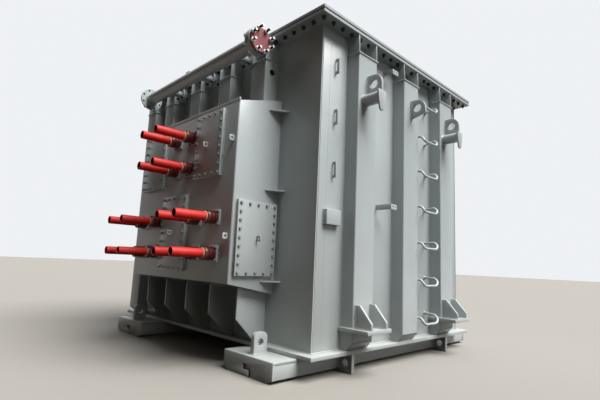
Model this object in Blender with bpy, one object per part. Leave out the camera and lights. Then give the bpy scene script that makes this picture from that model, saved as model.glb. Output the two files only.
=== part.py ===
"""Power transformer in its transport state: a ribbed steel tank on two skids, with a terminal
box, twelve tube terminals, a cooling header and lifting trunnions. Metres, +Z up. The origin
lies on the ground, under the middle of the whole object."""

import math

import bmesh
import bpy
from mathutils import Matrix, Vector

# Clearances and plates
GAP = 0.0003
SPARE = 0.02
WALL_PLATE = 0.012
RIB_PLATE = 0.010

# How round shapes are made
MERGE = 0.00005
SHARP_ANGLE = 40
ROD_REFERENCE = Vector((0.1, 0.2, 1))
HOLE_SIDES = 16
SMALL_HOLE_SIDES = 8
STEP_SIDES = 8
SMALL_ROD_SIDES = 6

# Tank
TANK_LENGTH = 2.81
TANK_DEPTH = 2.174
TANK_HEIGHT = 2.478
FLOOR_PLATE = 0.03
FLOOR_EDGE = 0.08
RIM_EDGE = 0.121
RIM_PLATE = 0.024
GASKET = 0.010
GASKET_INSET = 0.004
COVER_PLATE = 0.024
SEAL_WIDTH = 0.06
RIM_BOLT_PITCH = 0.11
RIM_BOLT_LINE = 0.0488
RIM_BOLT_HEAD = 0.030
RIM_BOLT_HEIGHT = 0.0125

# Skids
SKID_HEIGHT = 0.14
SKID_WIDTH = 0.55
SKID_REACH = 0.29
SKID_PLATE = 0.02
SKID_CENTRES = {"near": 1.075, "far": -0.91}
SKID_CHAMFER = 0.055
SKID_SOLE_EDGE = 0.025
TOE_SLOT_WIDTH = 0.09
TOE_SLOT_BASE = 0.042
TOE_SLOT_HEIGHT = 0.04
TOE_CLEFT = 0.026
TOE_DEPTH = 0.06
LUG_THICKNESS = 0.04
LUG_LENGTH = 0.12
LUG_HEIGHT = 0.15
LUG_SETBACK = 0.04
LUG_CROWN = 0.038
LUG_HOLE = 0.05
LUG_HOLE_RISE = 0.08
PULL_REACH = 0.13
PULL_PLATE = 0.03
PULL_PLACE = 0.717
PULL_HOLE = 0.06
PULL_LIFT = 0.001

# Stiffeners: a U channel, its cap plate and two webs on up to the rim
FACE_FOOT = 0.095
FOOT_TOE = 0.065
CAP_LAP = 0.008
WEB_SETBACK = 0.005
END_REACH = 0.121
END_WIDTH = 0.24
END_PITCH = 0.658
END_CENTRE = -0.01
EYE_RIB = 2
END_CAP_DROP = 0.15
SIDE_REACH = 0.143
SIDE_WIDTH = 0.19
SIDE_CAP_DROP = 0.168
ROOF_RIB_PLACES = (0.067, 0.567, 1.092)
BESIDE_BOX_GAP = 0.04
CORNER_GAP = 0.114
BACK_PITCH = 0.62
BACK_COUNT = 3
VENT_HOLE = 0.05
VENT_REACH = 0.07
VENT_DROP = 0.105

# Lifting trunnions and eyes
EYE_DROP = 0.303
EYE_HEIGHT = 0.20
EYE_REACH = 0.15
EYE_PLATE = 0.025
EYE_HOLE = 0.057
EYE_HOLE_DROP = 0.101
EYE_HOLE_REACH = 0.065
EYE_SHOULDER = 0.075
EYE_ROOT = 0.045
TRUNNION_EYE_DROP = 0.03
BAR_DIAMETER = 0.095
BAR_LENGTH = 0.155
BAR_DROP = 0.239
BAR_OFFSET = 0.039
GUARD_PLATE = 0.015
GUARD_WIDTH = 0.10
GUARD_FOOT_WIDTH = 0.062
GUARD_RISE = 0.049
GUARD_FALL = 0.116
GUARD_LAP = 0.004

# Jacking brackets
JACK_REACH = 0.275
JACK_TOP = 0.195
JACK_PLATE = 0.03
JACK_TAB = 0.025
JACK_GUSSET = 0.02
JACK_GUSSET_INSET = 0.02
JACK_NOSE = 0.242
JACK_NOSE_INSET = 0.004
JACK_SHOULDER = 0.165
JACK_PEAK = 0.36

# Climbing steps
STEP_PITCH = 0.316
STEP_FIRST = 0.220
STEP_HEADROOM = 0.30
STEP_ROD = 0.022
STEP_DROP = 0.05
STEP_STAND = 0.062
STEP_ROOT = 0.025
STEP_FAR = 0.037
STEP_TREAD = 0.225
STEP_SPAN = 0.335

# Fittings on the right wall, placed from its front edge
CLIP_ROD = 0.012
CLIP_STAND = 0.035
CLIP_HEIGHT = 0.125
CLIP_PLACE = 0.16
CLIP_FIRST_DROP = 0.297
CLIP_PITCH = 0.414
CLIP_COUNT = 3
PAD_PLACE = 0.195
PAD_WIDTH = 0.161
PAD_BASE = 0.93
PAD_HEIGHT = 0.12
PAD_THICKNESS = 0.04
ARM_PLATE = 0.008
ARM_HEIGHT = 0.038
ARM_HEAD = 0.075
ARM_HOLE = 0.012
ARM_HOLE_PITCH = 0.034
LOWER_ARM = {"place": 0.72, "reach": 0.15, "drop": 1.37}
UPPER_ARM = {"place": 0.80, "reach": 0.14, "drop": 0.14}

# Terminal box
BOX_LEFT = -0.625
BOX_RIGHT = 0.967
BOX_REACH = 0.42
BOX_PLATE = 0.012
BOX_WALL_BASE = 0.40
BOX_SOLE_RISE = 0.077
BOX_ROOF_DROP = 0.518
BOX_ROOF_FALL = 0.12
OPENING_MARGIN = 0.12
SHELF_SIDE = 0.13
SHELF_WALL = 0.09
SHELF_NOSE = 0.01
SHELF_SPACING = 0.65
SHELF_LIFT = 0.013
KEEL_COUNT = 5
KEEL_INSET = 0.082
KEEL_PITCH = 0.37
KEEL_REACH = 0.27
KEEL_BASE = 0.215
KEEL_TOE = 0.075
KEEL_PLATE = 0.014

# Terminals: columns from the box's right edge, rows from its front's top and bottom edges
TERMINAL_LENGTH = 0.35
TERMINAL_PLATE = 0.12
TERMINAL_PLATE_THICKNESS = 0.016
TERMINAL_TUBE = 0.068
TERMINAL_BORE = 0.054
TERMINAL_BORE_DEPTH = 0.26
SLEEVE_DIAMETER = 0.094
SLEEVE_LENGTH = 0.09
GROOVE_DIAMETER = 0.082
GROOVE_WIDTH = 0.014
GROOVE_PLACES = (0.0405, 0.0648)
COLLAR_DIAMETER = 0.082
COLLAR_LENGTH = 0.012
TERMINAL_SIDES = 12
UPPER_COLUMNS = (0.626, 0.873)
RIGHT_COLUMNS = (0.199, 0.458)
LEFT_COLUMNS = (1.125, 1.395)
UPPER_ROW_DROPS = (0.19, 0.455)
LOWER_ROW_RISES = (0.48, 0.21)

# Bolted covers and small eyes
COVER_THICKNESS = 0.030
SMALL_EYE_PLATE = 0.008
SMALL_EYE_REACH = 0.045
SMALL_EYE_HOLE = 0.018
SIDE_COVER_FRONT_INSET = 0.032
SIDE_COVER_WALL_INSET = 0.02
SIDE_COVER_RISE = 0.058
SIDE_COVER_UNDER_SHELF = 0.10
RIGHT_COVER_PLACE = 0.165
RIGHT_COVER_WIDTH = 0.384
RIGHT_COVER_DROP = 0.03
RIGHT_COVER_CLEARANCE = 0.263
LEFT_COVER_PLACE = 1.087
LEFT_COVER_WIDTH = 0.41
LEFT_COVER_DROP = 0.04
LEFT_COVER_CLEARANCE = 0.243
LOWER_COVER_PLACE = 0.622
LOWER_COVER_WIDTH = 0.41
LOWER_COVER_RISE = 0.063
LOWER_COVER_CLEARANCE = 0.155
EARTH_LUG_INSET = 0.062
EARTH_LUG_DROP = 0.29
EARTH_LUG_RISE = 0.34

# Cooling header
HEADER_NEAR = 0.983
HEADER_FAR = -0.945
HEADER_REACH = 0.28
HEADER_DROP = 0.108
HEADER_PIPE = 0.165
HEADER_BORE = 0.149
HEADER_FLANGE = 0.235
HEADER_FLANGE_THICKNESS = 0.018
HEADER_NECK = 0.222
HEADER_NECK_THICKNESS = 0.055
HEADER_BLANK = 0.206
HEADER_BLANK_THICKNESS = 0.020
HEADER_LOOP_PLACE = -0.15
HEADER_LOOP_WIDTH = 0.075
HEADER_LOOP_RISE = 0.028
HEADER_LOOP_ROD = 0.012
BRANCH_COUNT = 3
BRANCH_FIRST = 0.635
BRANCH_PITCH = 0.585
BRANCH_ROOT = 0.033
BRANCH_PIPE = 0.075
BRANCH_BORE = 0.063
BRANCH_FLANGE = 0.14
BRANCH_FLANGE_PLATE = 0.013
BRANCH_FLANGE_PAIR = 0.046
BRANCH_WAFER = 0.10
BRANCH_FLANGE_REACH = 0.12
HEADER_SIDES = 24
BRANCH_SIDES = 16

# Places that follow from the sizes above
HALF_LENGTH = TANK_LENGTH / 2
HALF_DEPTH = TANK_DEPTH / 2
FLOOR_TOP = SKID_HEIGHT + FLOOR_PLATE
WALL_BASE = FLOOR_TOP + GAP
RIM_BASE = SKID_HEIGHT + TANK_HEIGHT
BOX_FRONT = -HALF_DEPTH - BOX_REACH
BOX_WALL_TOP = TANK_HEIGHT - BOX_ROOF_DROP
BOX_FRONT_TOP = BOX_WALL_TOP - BOX_ROOF_FALL
BOX_FRONT_BASE = BOX_WALL_BASE + BOX_SOLE_RISE
UPPER_ROWS = [BOX_FRONT_TOP - drop for drop in UPPER_ROW_DROPS]
LOWER_ROWS = [BOX_FRONT_BASE + rise for rise in LOWER_ROW_RISES]
SHELF_HEIGHTS = (BOX_FRONT_TOP, BOX_FRONT_TOP - SHELF_SPACING, BOX_FRONT_BASE + SHELF_LIFT)
EYE_TOP = TANK_HEIGHT - EYE_DROP
STEP_COUNT = int((TANK_HEIGHT - STEP_HEADROOM - STEP_FIRST) / STEP_PITCH) + 1
FRONT_REACH = HALF_DEPTH + BOX_REACH + TERMINAL_LENGTH
BACK_REACH = HALF_DEPTH + SKID_REACH


def level(height):
    """A height above the tank's underside, as a height above the ground."""
    return SKID_HEIGHT + height


def material(name, colour, roughness, metallic=0.0):
    made = bpy.data.materials.new(name)
    made.use_nodes = True
    shader = made.node_tree.nodes["Principled BSDF"]
    shader.inputs["Base Color"].default_value = (*colour, 1.0)
    shader.inputs["Roughness"].default_value = roughness
    shader.inputs["Metallic"].default_value = metallic
    return made


def place(name, mesh, finish, location=(0, 0, 0), turn=0.0):
    """Put a mesh in the scene under the transformer's empty, turned about Z."""
    piece = bpy.data.objects.new(name, mesh)
    piece.location = location
    piece.rotation_euler = (0, 0, turn)
    piece.parent = transformer
    mesh.materials.append(finish)
    bpy.context.scene.collection.objects.link(piece)
    return piece


def finished_mesh(name, work):
    bmesh.ops.recalc_face_normals(work, faces=work.faces)
    mesh = bpy.data.meshes.new(name)
    work.to_mesh(mesh)
    work.free()
    return mesh


def extruded(name, outline, across, start, end):
    """A closed outline pushed along one axis, from start to end.

    The outline's pairs are (y, z) across X, (x, z) across Y and (x, y) across Z."""
    corner = {
        "X": lambda u, v: Vector((start, u, v)),
        "Y": lambda u, v: Vector((u, start, v)),
        "Z": lambda u, v: Vector((u, v, start)),
    }[across]
    direction = {"X": Vector((1, 0, 0)), "Y": Vector((0, 1, 0)), "Z": Vector((0, 0, 1))}[across]
    work = bmesh.new()
    face = work.faces.new([work.verts.new(corner(u, v)) for u, v in outline])
    grown = bmesh.ops.extrude_face_region(work, geom=[face])
    raised = [item for item in grown["geom"] if isinstance(item, bmesh.types.BMVert)]
    bmesh.ops.translate(work, verts=raised, vec=direction * (end - start))
    return finished_mesh(name, work)


def slab(name, x, y, z):
    """A plate or block between two limits on each axis."""
    outline = [(x[0], y[0]), (x[1], y[0]), (x[1], y[1]), (x[0], y[1])]
    return extruded(name, outline, "Z", z[0], z[1])


def quarter_round(centre, radius, quarter, steps=6):
    """Points of a quarter circle, counted anticlockwise from the first quarter."""
    turns = [math.pi / 2 * (quarter + step / steps) for step in range(steps + 1)]
    return [(centre[0] + radius * math.cos(turn), centre[1] + radius * math.sin(turn))
            for turn in turns]


def turned(name, profile, along, centre, sides):
    """A profile of (distance, radius) pairs spun about an axis through the centre."""
    axis = {"X": Vector((1, 0, 0)), "Y": Vector((0, 1, 0)), "Z": Vector((0, 0, 1))}[along]
    outward = Vector((0, 0, 1)) if along != "Z" else Vector((1, 0, 0))
    outward = Matrix.Rotation(math.pi / sides, 3, axis) @ outward
    middle = Vector(centre)
    work = bmesh.new()
    points = [work.verts.new(middle + axis * run + outward * radius) for run, radius in profile]
    edges = [work.edges.new(pair) for pair in zip(points, points[1:])]
    bmesh.ops.spin(work, geom=points + edges, cent=middle, axis=axis, dvec=(0, 0, 0),
                   angle=math.tau, steps=sides, use_merge=True, use_duplicate=False)
    bmesh.ops.remove_doubles(work, verts=work.verts, dist=MERGE)
    on_axis = [point for point in work.verts if axis.cross(point.co - middle).length < MERGE]
    bmesh.ops.dissolve_verts(work, verts=on_axis)
    mesh = finished_mesh(name, work)
    mesh.shade_smooth()
    mesh.set_sharp_from_angle(angle=math.radians(SHARP_ANGLE))
    return mesh


def cylinder(name, along, centre, diameter, length, sides):
    radius = diameter / 2
    profile = [(0, 0), (0, radius), (length, radius), (length, 0)]
    return turned(name, profile, along, centre, sides)


def rod(name, route, diameter, sides):
    """A bar bent along a route of points, with mitred corners."""
    stops = [Vector(point) for point in route]
    work = bmesh.new()
    rings = []
    for number, stop in enumerate(stops):
        before = (stop - stops[max(number - 1, 0)]).normalized()
        after = (stops[min(number + 1, len(stops) - 1)] - stop).normalized()
        heading = (before + after).normalized()
        run = after if after.length > 0 else before
        stretch = 1 / max(heading.dot(run), 0.5)
        side = heading.cross(ROD_REFERENCE).normalized()
        rise = side.cross(heading)
        bend = (before - after) - heading * (before - after).dot(heading)
        bend = bend.normalized() if bend.length > MERGE else Vector()
        ring = []
        for step in range(sides):
            angle = math.tau * step / sides
            spoke = (side * math.cos(angle) + rise * math.sin(angle)) * diameter / 2
            spoke += bend * spoke.dot(bend) * (stretch - 1)
            ring.append(work.verts.new(stop + spoke))
        rings.append(ring)
    for first, second in zip(rings, rings[1:]):
        for step in range(sides):
            following = (step + 1) % sides
            work.faces.new((first[step], first[following], second[following], second[step]))
    work.faces.new(rings[0])
    work.faces.new(rings[-1])
    return finished_mesh(name, work)


def shape(piece, operation, operands):
    """Join shapes to a piece, or cut them from it; they ride on the piece and stay hidden."""
    for number, mesh in enumerate(operands, 1):
        operand = bpy.data.objects.new(f"{piece.name}_{operation.lower()}_{number}", mesh)
        operand.parent = piece
        operand.hide_render = True
        operand.display_type = "WIRE"
        bpy.context.scene.collection.objects.link(operand)
        step = piece.modifiers.new(f"{operation.title()} {number}", "BOOLEAN")
        step.operation = operation
        step.solver = "EXACT"
        step.object = operand


def join(piece, *operands):
    shape(piece, "UNION", operands)


def cut(piece, *operands):
    shape(piece, "DIFFERENCE", operands)


def floor_and_walls():
    reach_x = HALF_LENGTH + FLOOR_EDGE
    reach_y = HALF_DEPTH + FLOOR_EDGE
    place("tank_bottom_plate",
          slab("tank_bottom_plate", (-reach_x, reach_x), (-reach_y, reach_y),
               (SKID_HEIGHT + GAP, FLOOR_TOP)), grey_paint)
    heights = (WALL_BASE, RIM_BASE - GAP)
    inner_y = HALF_DEPTH - WALL_PLATE
    front = place("front_wall",
                  slab("front_wall", (-HALF_LENGTH, HALF_LENGTH), (-HALF_DEPTH, -inner_y), heights),
                  grey_paint)
    cut(front, slab("box_opening", (BOX_LEFT + OPENING_MARGIN, BOX_RIGHT - OPENING_MARGIN),
                    (-HALF_DEPTH - SPARE, -inner_y + SPARE),
                    (level(BOX_WALL_BASE + OPENING_MARGIN), level(BOX_WALL_TOP - OPENING_MARGIN))))
    place("back_wall",
          slab("back_wall", (-HALF_LENGTH, HALF_LENGTH), (inner_y, HALF_DEPTH), heights), grey_paint)
    end_walls = {}
    for name, side in (("left_wall", -1), ("right_wall", 1)):
        limits = sorted((side * HALF_LENGTH, side * (HALF_LENGTH - WALL_PLATE)))
        end_walls[name] = place(name, slab(name, limits, (GAP - inner_y, inner_y - GAP), heights),
                                grey_paint)
    wall_fittings(end_walls["right_wall"])


def wall_fittings(wall):
    """Bar clips, a pad and two arms with drilled heads, welded to the right wall."""
    face = HALF_LENGTH
    root = face - WALL_PLATE / 2
    out = face + CLIP_STAND
    y = CLIP_PLACE - HALF_DEPTH
    for number in range(CLIP_COUNT):
        top = level(TANK_HEIGHT - CLIP_FIRST_DROP - CLIP_PITCH * number) + CLIP_HEIGHT / 2
        base = top - CLIP_HEIGHT
        route = [(root, y, base), (out, y, base), (out, y, top), (root, y, top)]
        join(wall, rod("clip", route, CLIP_ROD, SMALL_ROD_SIDES))
    middle = PAD_PLACE - HALF_DEPTH
    join(wall, slab("pad", (root, face + PAD_THICKNESS),
                    (middle - PAD_WIDTH / 2, middle + PAD_WIDTH / 2),
                    (level(PAD_BASE), level(PAD_BASE) + PAD_HEIGHT)))
    for arm in (LOWER_ARM, UPPER_ARM):
        y = arm["place"] - HALF_DEPTH
        base = level(TANK_HEIGHT - arm["drop"])
        heights = (base, base + ARM_HEIGHT)
        tip = face + arm["reach"]
        plan = [(root, y), (tip, y), (tip, y + ARM_HEAD), (tip - ARM_PLATE, y + ARM_HEAD),
                (tip - ARM_PLATE, y + ARM_PLATE), (root, y + ARM_PLATE)]
        join(wall, extruded("arm", plan, "Z", *heights))
        for side in (-1, 1):
            hole_y = y + ARM_HEAD / 2 + side * ARM_HOLE_PITCH / 2
            centre = (tip - 2 * ARM_PLATE, hole_y, base + ARM_HEIGHT / 2)
            cut(wall, cylinder("arm_hole", "X", centre, ARM_HOLE, 3 * ARM_PLATE, SMALL_HOLE_SIDES))


def rim_bolt_spots():
    """Evenly spaced places along the rim's four sides, with one at each corner."""
    out_x = HALF_LENGTH + RIM_BOLT_LINE
    out_y = HALF_DEPTH + RIM_BOLT_LINE
    count_x = round(2 * out_x / RIM_BOLT_PITCH)
    count_y = round(2 * out_y / RIM_BOLT_PITCH)
    along_x = [out_x - 2 * out_x * step / count_x for step in range(count_x)]
    along_y = [out_y - 2 * out_y * step / count_y for step in range(count_y)]
    return ([(x, out_y) for x in along_x] + [(-x, -out_y) for x in along_x]
            + [(-out_x, y) for y in along_y] + [(out_x, -y) for y in along_y])


def bolt_heads(name, spots, root, top):
    """Hexagon heads at the given places, all in one mesh."""
    work = bmesh.new()
    radius = RIM_BOLT_HEAD / math.sqrt(3)
    for x, y in spots:
        middle = Matrix.Translation((x, y, (root + top) / 2))
        bmesh.ops.create_cone(work, cap_ends=True, segments=6, radius1=radius, radius2=radius,
                              depth=top - root, matrix=middle)
    return finished_mesh(name, work)


def rim_and_cover():
    outer_x = HALF_LENGTH + RIM_EDGE
    outer_y = HALF_DEPTH + RIM_EDGE
    flange_top = RIM_BASE + RIM_PLATE
    gasket_top = flange_top + GAP + GASKET
    rings = (
        ("rim_flange", RIM_BASE, flange_top, HALF_LENGTH - SEAL_WIDTH, HALF_DEPTH - SEAL_WIDTH,
         grey_paint, 0),
        ("cover_gasket", flange_top + GAP, gasket_top, HALF_LENGTH, HALF_DEPTH, rubber,
         GASKET_INSET),
    )
    for name, base, top, hole_x, hole_y, finish, inset in rings:
        ring = place(name, slab(name, (inset - outer_x, outer_x - inset),
                                (inset - outer_y, outer_y - inset), (base, top)), finish)
        cut(ring, slab(f"{name}_hole", (-hole_x, hole_x), (-hole_y, hole_y),
                       (base - SPARE, top + SPARE)))
    cover_base = gasket_top + GAP
    cover_top = cover_base + COVER_PLATE
    cover = place("cover_plate", slab("cover_plate", (-outer_x, outer_x), (-outer_y, outer_y),
                                      (cover_base, cover_top)), grey_paint)
    join(cover, bolt_heads("rim_bolt_heads", rim_bolt_spots(), cover_top - COVER_PLATE / 2,
                           cover_top + RIM_BOLT_HEIGHT))


def stiffener(name, location, turn, reach, width, cap, foot):
    """A U channel welded to a wall: x runs out of the wall, y across and z up.

    The foot gives the lowest points from the wall out to the face. Above the cap plate,
    which laps the channel all round, the two webs go on up to the rim."""
    half = width / 2
    top = RIM_BASE - GAP
    outline = [(GAP, foot[0][1]), *foot[1:], (reach, cap), (reach - WEB_SETBACK, top), (GAP, top)]
    piece = place(name, extruded(name, outline, "Y", -half, half), grey_paint, location, turn)
    inner_foot = [(x - RIB_PLATE, z) for x, z in foot[1:]]
    low = min(z for x, z in foot) - SPARE
    inside = [(-SPARE, low), (inner_foot[0][0], low), *inner_foot,
              (reach - RIB_PLATE, cap - RIB_PLATE), (-SPARE, cap - RIB_PLATE)]
    webs = (RIB_PLATE - half, half - RIB_PLATE)
    cut(piece, extruded("hollow", inside, "Y", *webs),
        slab("above_cap", (-SPARE, reach + SPARE), webs, (cap, top + SPARE)))
    join(piece, slab("cap_plate", (GAP, reach + CAP_LAP), (-half - CAP_LAP, half + CAP_LAP),
                     (cap - RIB_PLATE, cap)))
    return piece


def standing_foot(reach):
    """The lowest points of a stiffener whose face ends above the floor plate's edge."""
    return [(0, WALL_BASE), (FOOT_TOE, WALL_BASE), (reach, level(FACE_FOOT))]


def eye_outline(start, tip, drop, root):
    """An eye plate's outline in (x, z), with a round outer shoulder.

    The drop lowers its whole lower edge and the root lowers that edge at the stiffener."""
    top = level(EYE_TOP)
    base = top - EYE_HEIGHT - drop
    shoulder = quarter_round((tip - EYE_SHOULDER, top - EYE_SHOULDER), EYE_SHOULDER, 0)
    return [(start, base - root), (tip, base), *shoulder, (start, top)]


def eye_plate(name, start, tip, drop, root):
    return extruded(name, eye_outline(start, tip, drop, root), "Y", -EYE_PLATE / 2, EYE_PLATE / 2)


def eye_hole(reach):
    centre = (reach + EYE_HOLE_REACH, -EYE_PLATE, level(EYE_TOP - EYE_HOLE_DROP))
    return cylinder("eye_hole", "Y", centre, EYE_HOLE, 2 * EYE_PLATE, HOLE_SIDES)


def climbing_steps():
    """Bent rods from the stiffener's face round to the wall behind it."""
    half = END_WIDTH / 2
    out = END_REACH + STEP_STAND
    steps = []
    for number in range(STEP_COUNT):
        height = level(STEP_FIRST + STEP_PITCH * number)
        route = [
            (END_REACH - RIB_PLATE / 2, half - STEP_ROD, height),
            (END_REACH + STEP_ROOT, half - STEP_ROD, height),
            (out, half - STEP_ROD / 2, height - STEP_DROP),
            (out, half + STEP_TREAD, height - STEP_DROP),
            (END_REACH + STEP_FAR, half + STEP_TREAD + STEP_ROD, height - STEP_ROD / 2),
            (STEP_ROD / 2, half + STEP_SPAN, height + STEP_ROD / 2),
        ]
        steps.append(rod(f"step_{number}", route, STEP_ROD, STEP_SIDES))
    return steps


def jacking_plates():
    """A bracket's level plate round the stiffener's foot and the two gussets above it."""
    half = END_WIDTH / 2
    outer = half + JACK_TAB
    back = END_REACH - RIB_PLATE / 2
    side = half - RIB_PLATE / 2
    plan = [(GAP, -outer), (JACK_REACH, -outer), (JACK_REACH, outer), (GAP, outer),
            (GAP, side), (back, side), (back, -side), (GAP, -side)]
    top = level(JACK_TOP)
    plates = [extruded("level_plate", plan, "Z", top - JACK_PLATE, top)]
    nose = JACK_REACH - JACK_NOSE_INSET
    gusset = [(back, top - RIB_PLATE), (nose, top - RIB_PLATE), (nose, level(JACK_NOSE)),
              (JACK_SHOULDER, level(JACK_PEAK)), (back, level(JACK_PEAK))]
    outer_face = half - JACK_GUSSET_INSET
    for start in (-outer_face, outer_face - JACK_GUSSET):
        plates.append(extruded("gusset", gusset, "Y", start, start + JACK_GUSSET))
    return plates


def end_stiffeners():
    """Three stiffeners on each end; the outer two carry jacking brackets and trunnions."""
    cap = RIM_BASE - END_CAP_DROP
    for side, turn, sign in (("right", 0.0, 1), ("left", math.pi, -1)):
        for number in (1, 2, 3):
            location = (sign * HALF_LENGTH, END_CENTRE + END_PITCH * (number - EYE_RIB), 0)
            piece = stiffener(f"{side}_stiffener_{number}", location, turn, END_REACH, END_WIDTH,
                              cap, standing_foot(END_REACH))
            if number != EYE_RIB:
                join(piece, *jacking_plates())
                trunnion(f"lifting_trunnion_{side}_{number}", location, turn, sign)
                continue
            join(piece, eye_plate("eye_plate", END_REACH - RIB_PLATE / 2, END_REACH + EYE_REACH,
                                  0, EYE_ROOT))
            if side == "right":
                join(piece, *climbing_steps())
            cut(piece, eye_hole(END_REACH))


def trunnion(name, location, turn, sign):
    """A lifting eye over a round bar whose end carries a tongue-shaped guard plate."""
    start = END_REACH + GAP
    end = END_REACH + BAR_LENGTH
    piece = place(name, eye_plate(name, start, end - GUARD_LAP, TRUNNION_EYE_DROP, 0), grey_paint,
                  location, turn)
    offset = -sign * BAR_OFFSET
    axis = level(EYE_TOP - BAR_DROP)
    half = GUARD_WIDTH / 2
    foot_half = GUARD_FOOT_WIDTH / 2
    foot = axis - GUARD_FALL + foot_half
    left_round = quarter_round((offset, foot), foot_half, 2)
    right_round = quarter_round((offset, foot), foot_half, 3)
    guard = [*left_round, *right_round[1:], (offset + half, axis),
             (offset + half, axis + GUARD_RISE), (offset - half, axis + GUARD_RISE),
             (offset - half, axis)]
    join(piece,
         cylinder("bar", "X", (start, offset, axis), BAR_DIAMETER, BAR_LENGTH + GUARD_PLATE / 2,
                  HOLE_SIDES),
         extruded("guard", guard, "X", end, end + GUARD_PLATE))
    cut(piece, eye_hole(END_REACH))


def long_side_stiffeners():
    """Five on the front, of which three end on the terminal box's roof, and three behind."""
    slope = BOX_ROOF_FALL / BOX_REACH
    roof = level(BOX_WALL_TOP) + 2 * GAP
    roof_foot = [(0, roof), (SIDE_REACH, roof - slope * SIDE_REACH)]
    half = SIDE_WIDTH / 2
    centres = [BOX_RIGHT - edge - half for edge in ROOF_RIB_PLACES]
    centres += [BOX_LEFT - BESIDE_BOX_GAP - half, CORNER_GAP + half - HALF_LENGTH]
    cap = RIM_BASE - SIDE_CAP_DROP
    for number, centre in enumerate(centres, 1):
        foot = roof_foot if number <= len(ROOF_RIB_PLACES) else standing_foot(SIDE_REACH)
        piece = stiffener(f"front_stiffener_{number}", (centre, -HALF_DEPTH, 0), -math.pi / 2,
                          SIDE_REACH, SIDE_WIDTH, cap, foot)
        if number == 1:
            vent = (VENT_REACH, half - 2 * RIB_PLATE, cap - VENT_DROP)
            cut(piece, cylinder("vent", "Y", vent, VENT_HOLE, 3 * RIB_PLATE, HOLE_SIDES))
    for number in range(BACK_COUNT):
        centre = BACK_PITCH * ((BACK_COUNT - 1) / 2 - number)
        stiffener(f"back_stiffener_{number + 1}", (centre, HALF_DEPTH, 0), math.pi / 2,
                  SIDE_REACH, SIDE_WIDTH, cap, standing_foot(SIDE_REACH))


def terminal_box():
    """The front and sides are bent from one sheet; the roof and floor close it."""
    wall = -HALF_DEPTH - GAP
    wall_base = level(BOX_WALL_BASE)
    wall_top = level(BOX_WALL_TOP)
    side = [(wall, wall_base), (BOX_FRONT, level(BOX_FRONT_BASE)),
            (BOX_FRONT, level(BOX_FRONT_TOP)), (wall, wall_top)]
    shell = place("terminal_box_shell",
                  extruded("terminal_box_shell", side, "X", BOX_LEFT, BOX_RIGHT), grey_paint)
    cut(shell, slab("inside", (BOX_LEFT + BOX_PLATE, BOX_RIGHT - BOX_PLATE),
                    (BOX_FRONT + BOX_PLATE, wall + SPARE), (wall_base - SPARE, wall_top + SPARE)))
    for height in SHELF_HEIGHTS:
        root = BOX_RIGHT - BOX_PLATE / 2
        plan = [(root, wall), (BOX_RIGHT + SHELF_WALL, wall),
                (BOX_RIGHT + SHELF_WALL, wall - SPARE),
                (BOX_RIGHT + SHELF_NOSE, wall - SHELF_SIDE), (root, wall - SHELF_SIDE)]
        join(shell, extruded("shelf", plan, "Z", level(height), level(height) + RIB_PLATE))
    for height in (BOX_FRONT_TOP - EARTH_LUG_DROP, BOX_FRONT_BASE + EARTH_LUG_RISE):
        plate, hole = front_eye(BOX_RIGHT - EARTH_LUG_INSET, BOX_FRONT, level(height))
        join(shell, plate)
        cut(shell, hole)
    inner = (BOX_LEFT + BOX_PLATE + GAP, BOX_RIGHT - BOX_PLATE - GAP)
    front_inner = BOX_FRONT + BOX_PLATE + GAP
    share = 1 - BOX_PLATE / BOX_REACH
    fall = BOX_ROOF_FALL * share
    roof = [(wall, wall_top), (front_inner, wall_top - fall),
            (front_inner, wall_top - fall - BOX_PLATE), (wall, wall_top - BOX_PLATE)]
    place("terminal_box_roof", extruded("terminal_box_roof", roof, "X", *inner), grey_paint)
    rise = BOX_SOLE_RISE * share
    sole = [(wall, wall_base), (front_inner, wall_base + rise),
            (front_inner, wall_base + rise + BOX_PLATE), (wall, wall_base + BOX_PLATE)]
    floor = place("terminal_box_floor", extruded("terminal_box_floor", sole, "X", *inner),
                  grey_paint)
    under = wall_base + BOX_PLATE / 2
    keel_top = under + BOX_SOLE_RISE * KEEL_REACH / BOX_REACH
    keel = [(wall, under), (wall - KEEL_REACH, keel_top),
            (wall - KEEL_REACH, level(KEEL_BASE)), (wall - KEEL_TOE, WALL_BASE), (wall, WALL_BASE)]
    for number in range(KEEL_COUNT):
        right = BOX_RIGHT - KEEL_INSET - KEEL_PITCH * number + KEEL_PLATE / 2
        join(floor, extruded("keel", keel, "X", right - KEEL_PLATE, right))


def front_eye(x, y, z):
    """A small eye standing out of a front plate, and the cylinder that bores it."""
    half = SMALL_EYE_REACH / 2
    thick = SMALL_EYE_PLATE / 2
    plate = slab("small_eye", (x - thick, x + thick), (y - SMALL_EYE_REACH, y + SMALL_EYE_PLATE),
                 (z - half, z + half))
    hole = cylinder("small_eye_hole", "X", (x - SMALL_EYE_PLATE, y - half, z), SMALL_EYE_HOLE,
                    2 * SMALL_EYE_PLATE, SMALL_HOLE_SIDES)
    return plate, hole


def side_eye(x, y, z):
    """The same eye standing out of a plate that faces +X."""
    half = SMALL_EYE_REACH / 2
    thick = SMALL_EYE_PLATE / 2
    plate = slab("small_eye", (x - SMALL_EYE_PLATE, x + SMALL_EYE_REACH), (y - thick, y + thick),
                 (z - half, z + half))
    hole = cylinder("small_eye_hole", "Y", (x + half, y - SMALL_EYE_PLATE, z), SMALL_EYE_HOLE,
                    2 * SMALL_EYE_PLATE, SMALL_HOLE_SIDES)
    return plate, hole


def front_cover(name, right, width, base, top):
    """A cover on the box's front, between two heights, with an eye in its middle."""
    face = BOX_FRONT - GAP
    cover = place(name, slab(name, (right - width, right), (face - COVER_THICKNESS, face),
                             (level(base), level(top))), grey_paint)
    plate, hole = front_eye(right - width / 2, face - COVER_THICKNESS, level((base + top) / 2))
    join(cover, plate)
    cut(cover, hole)


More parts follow.
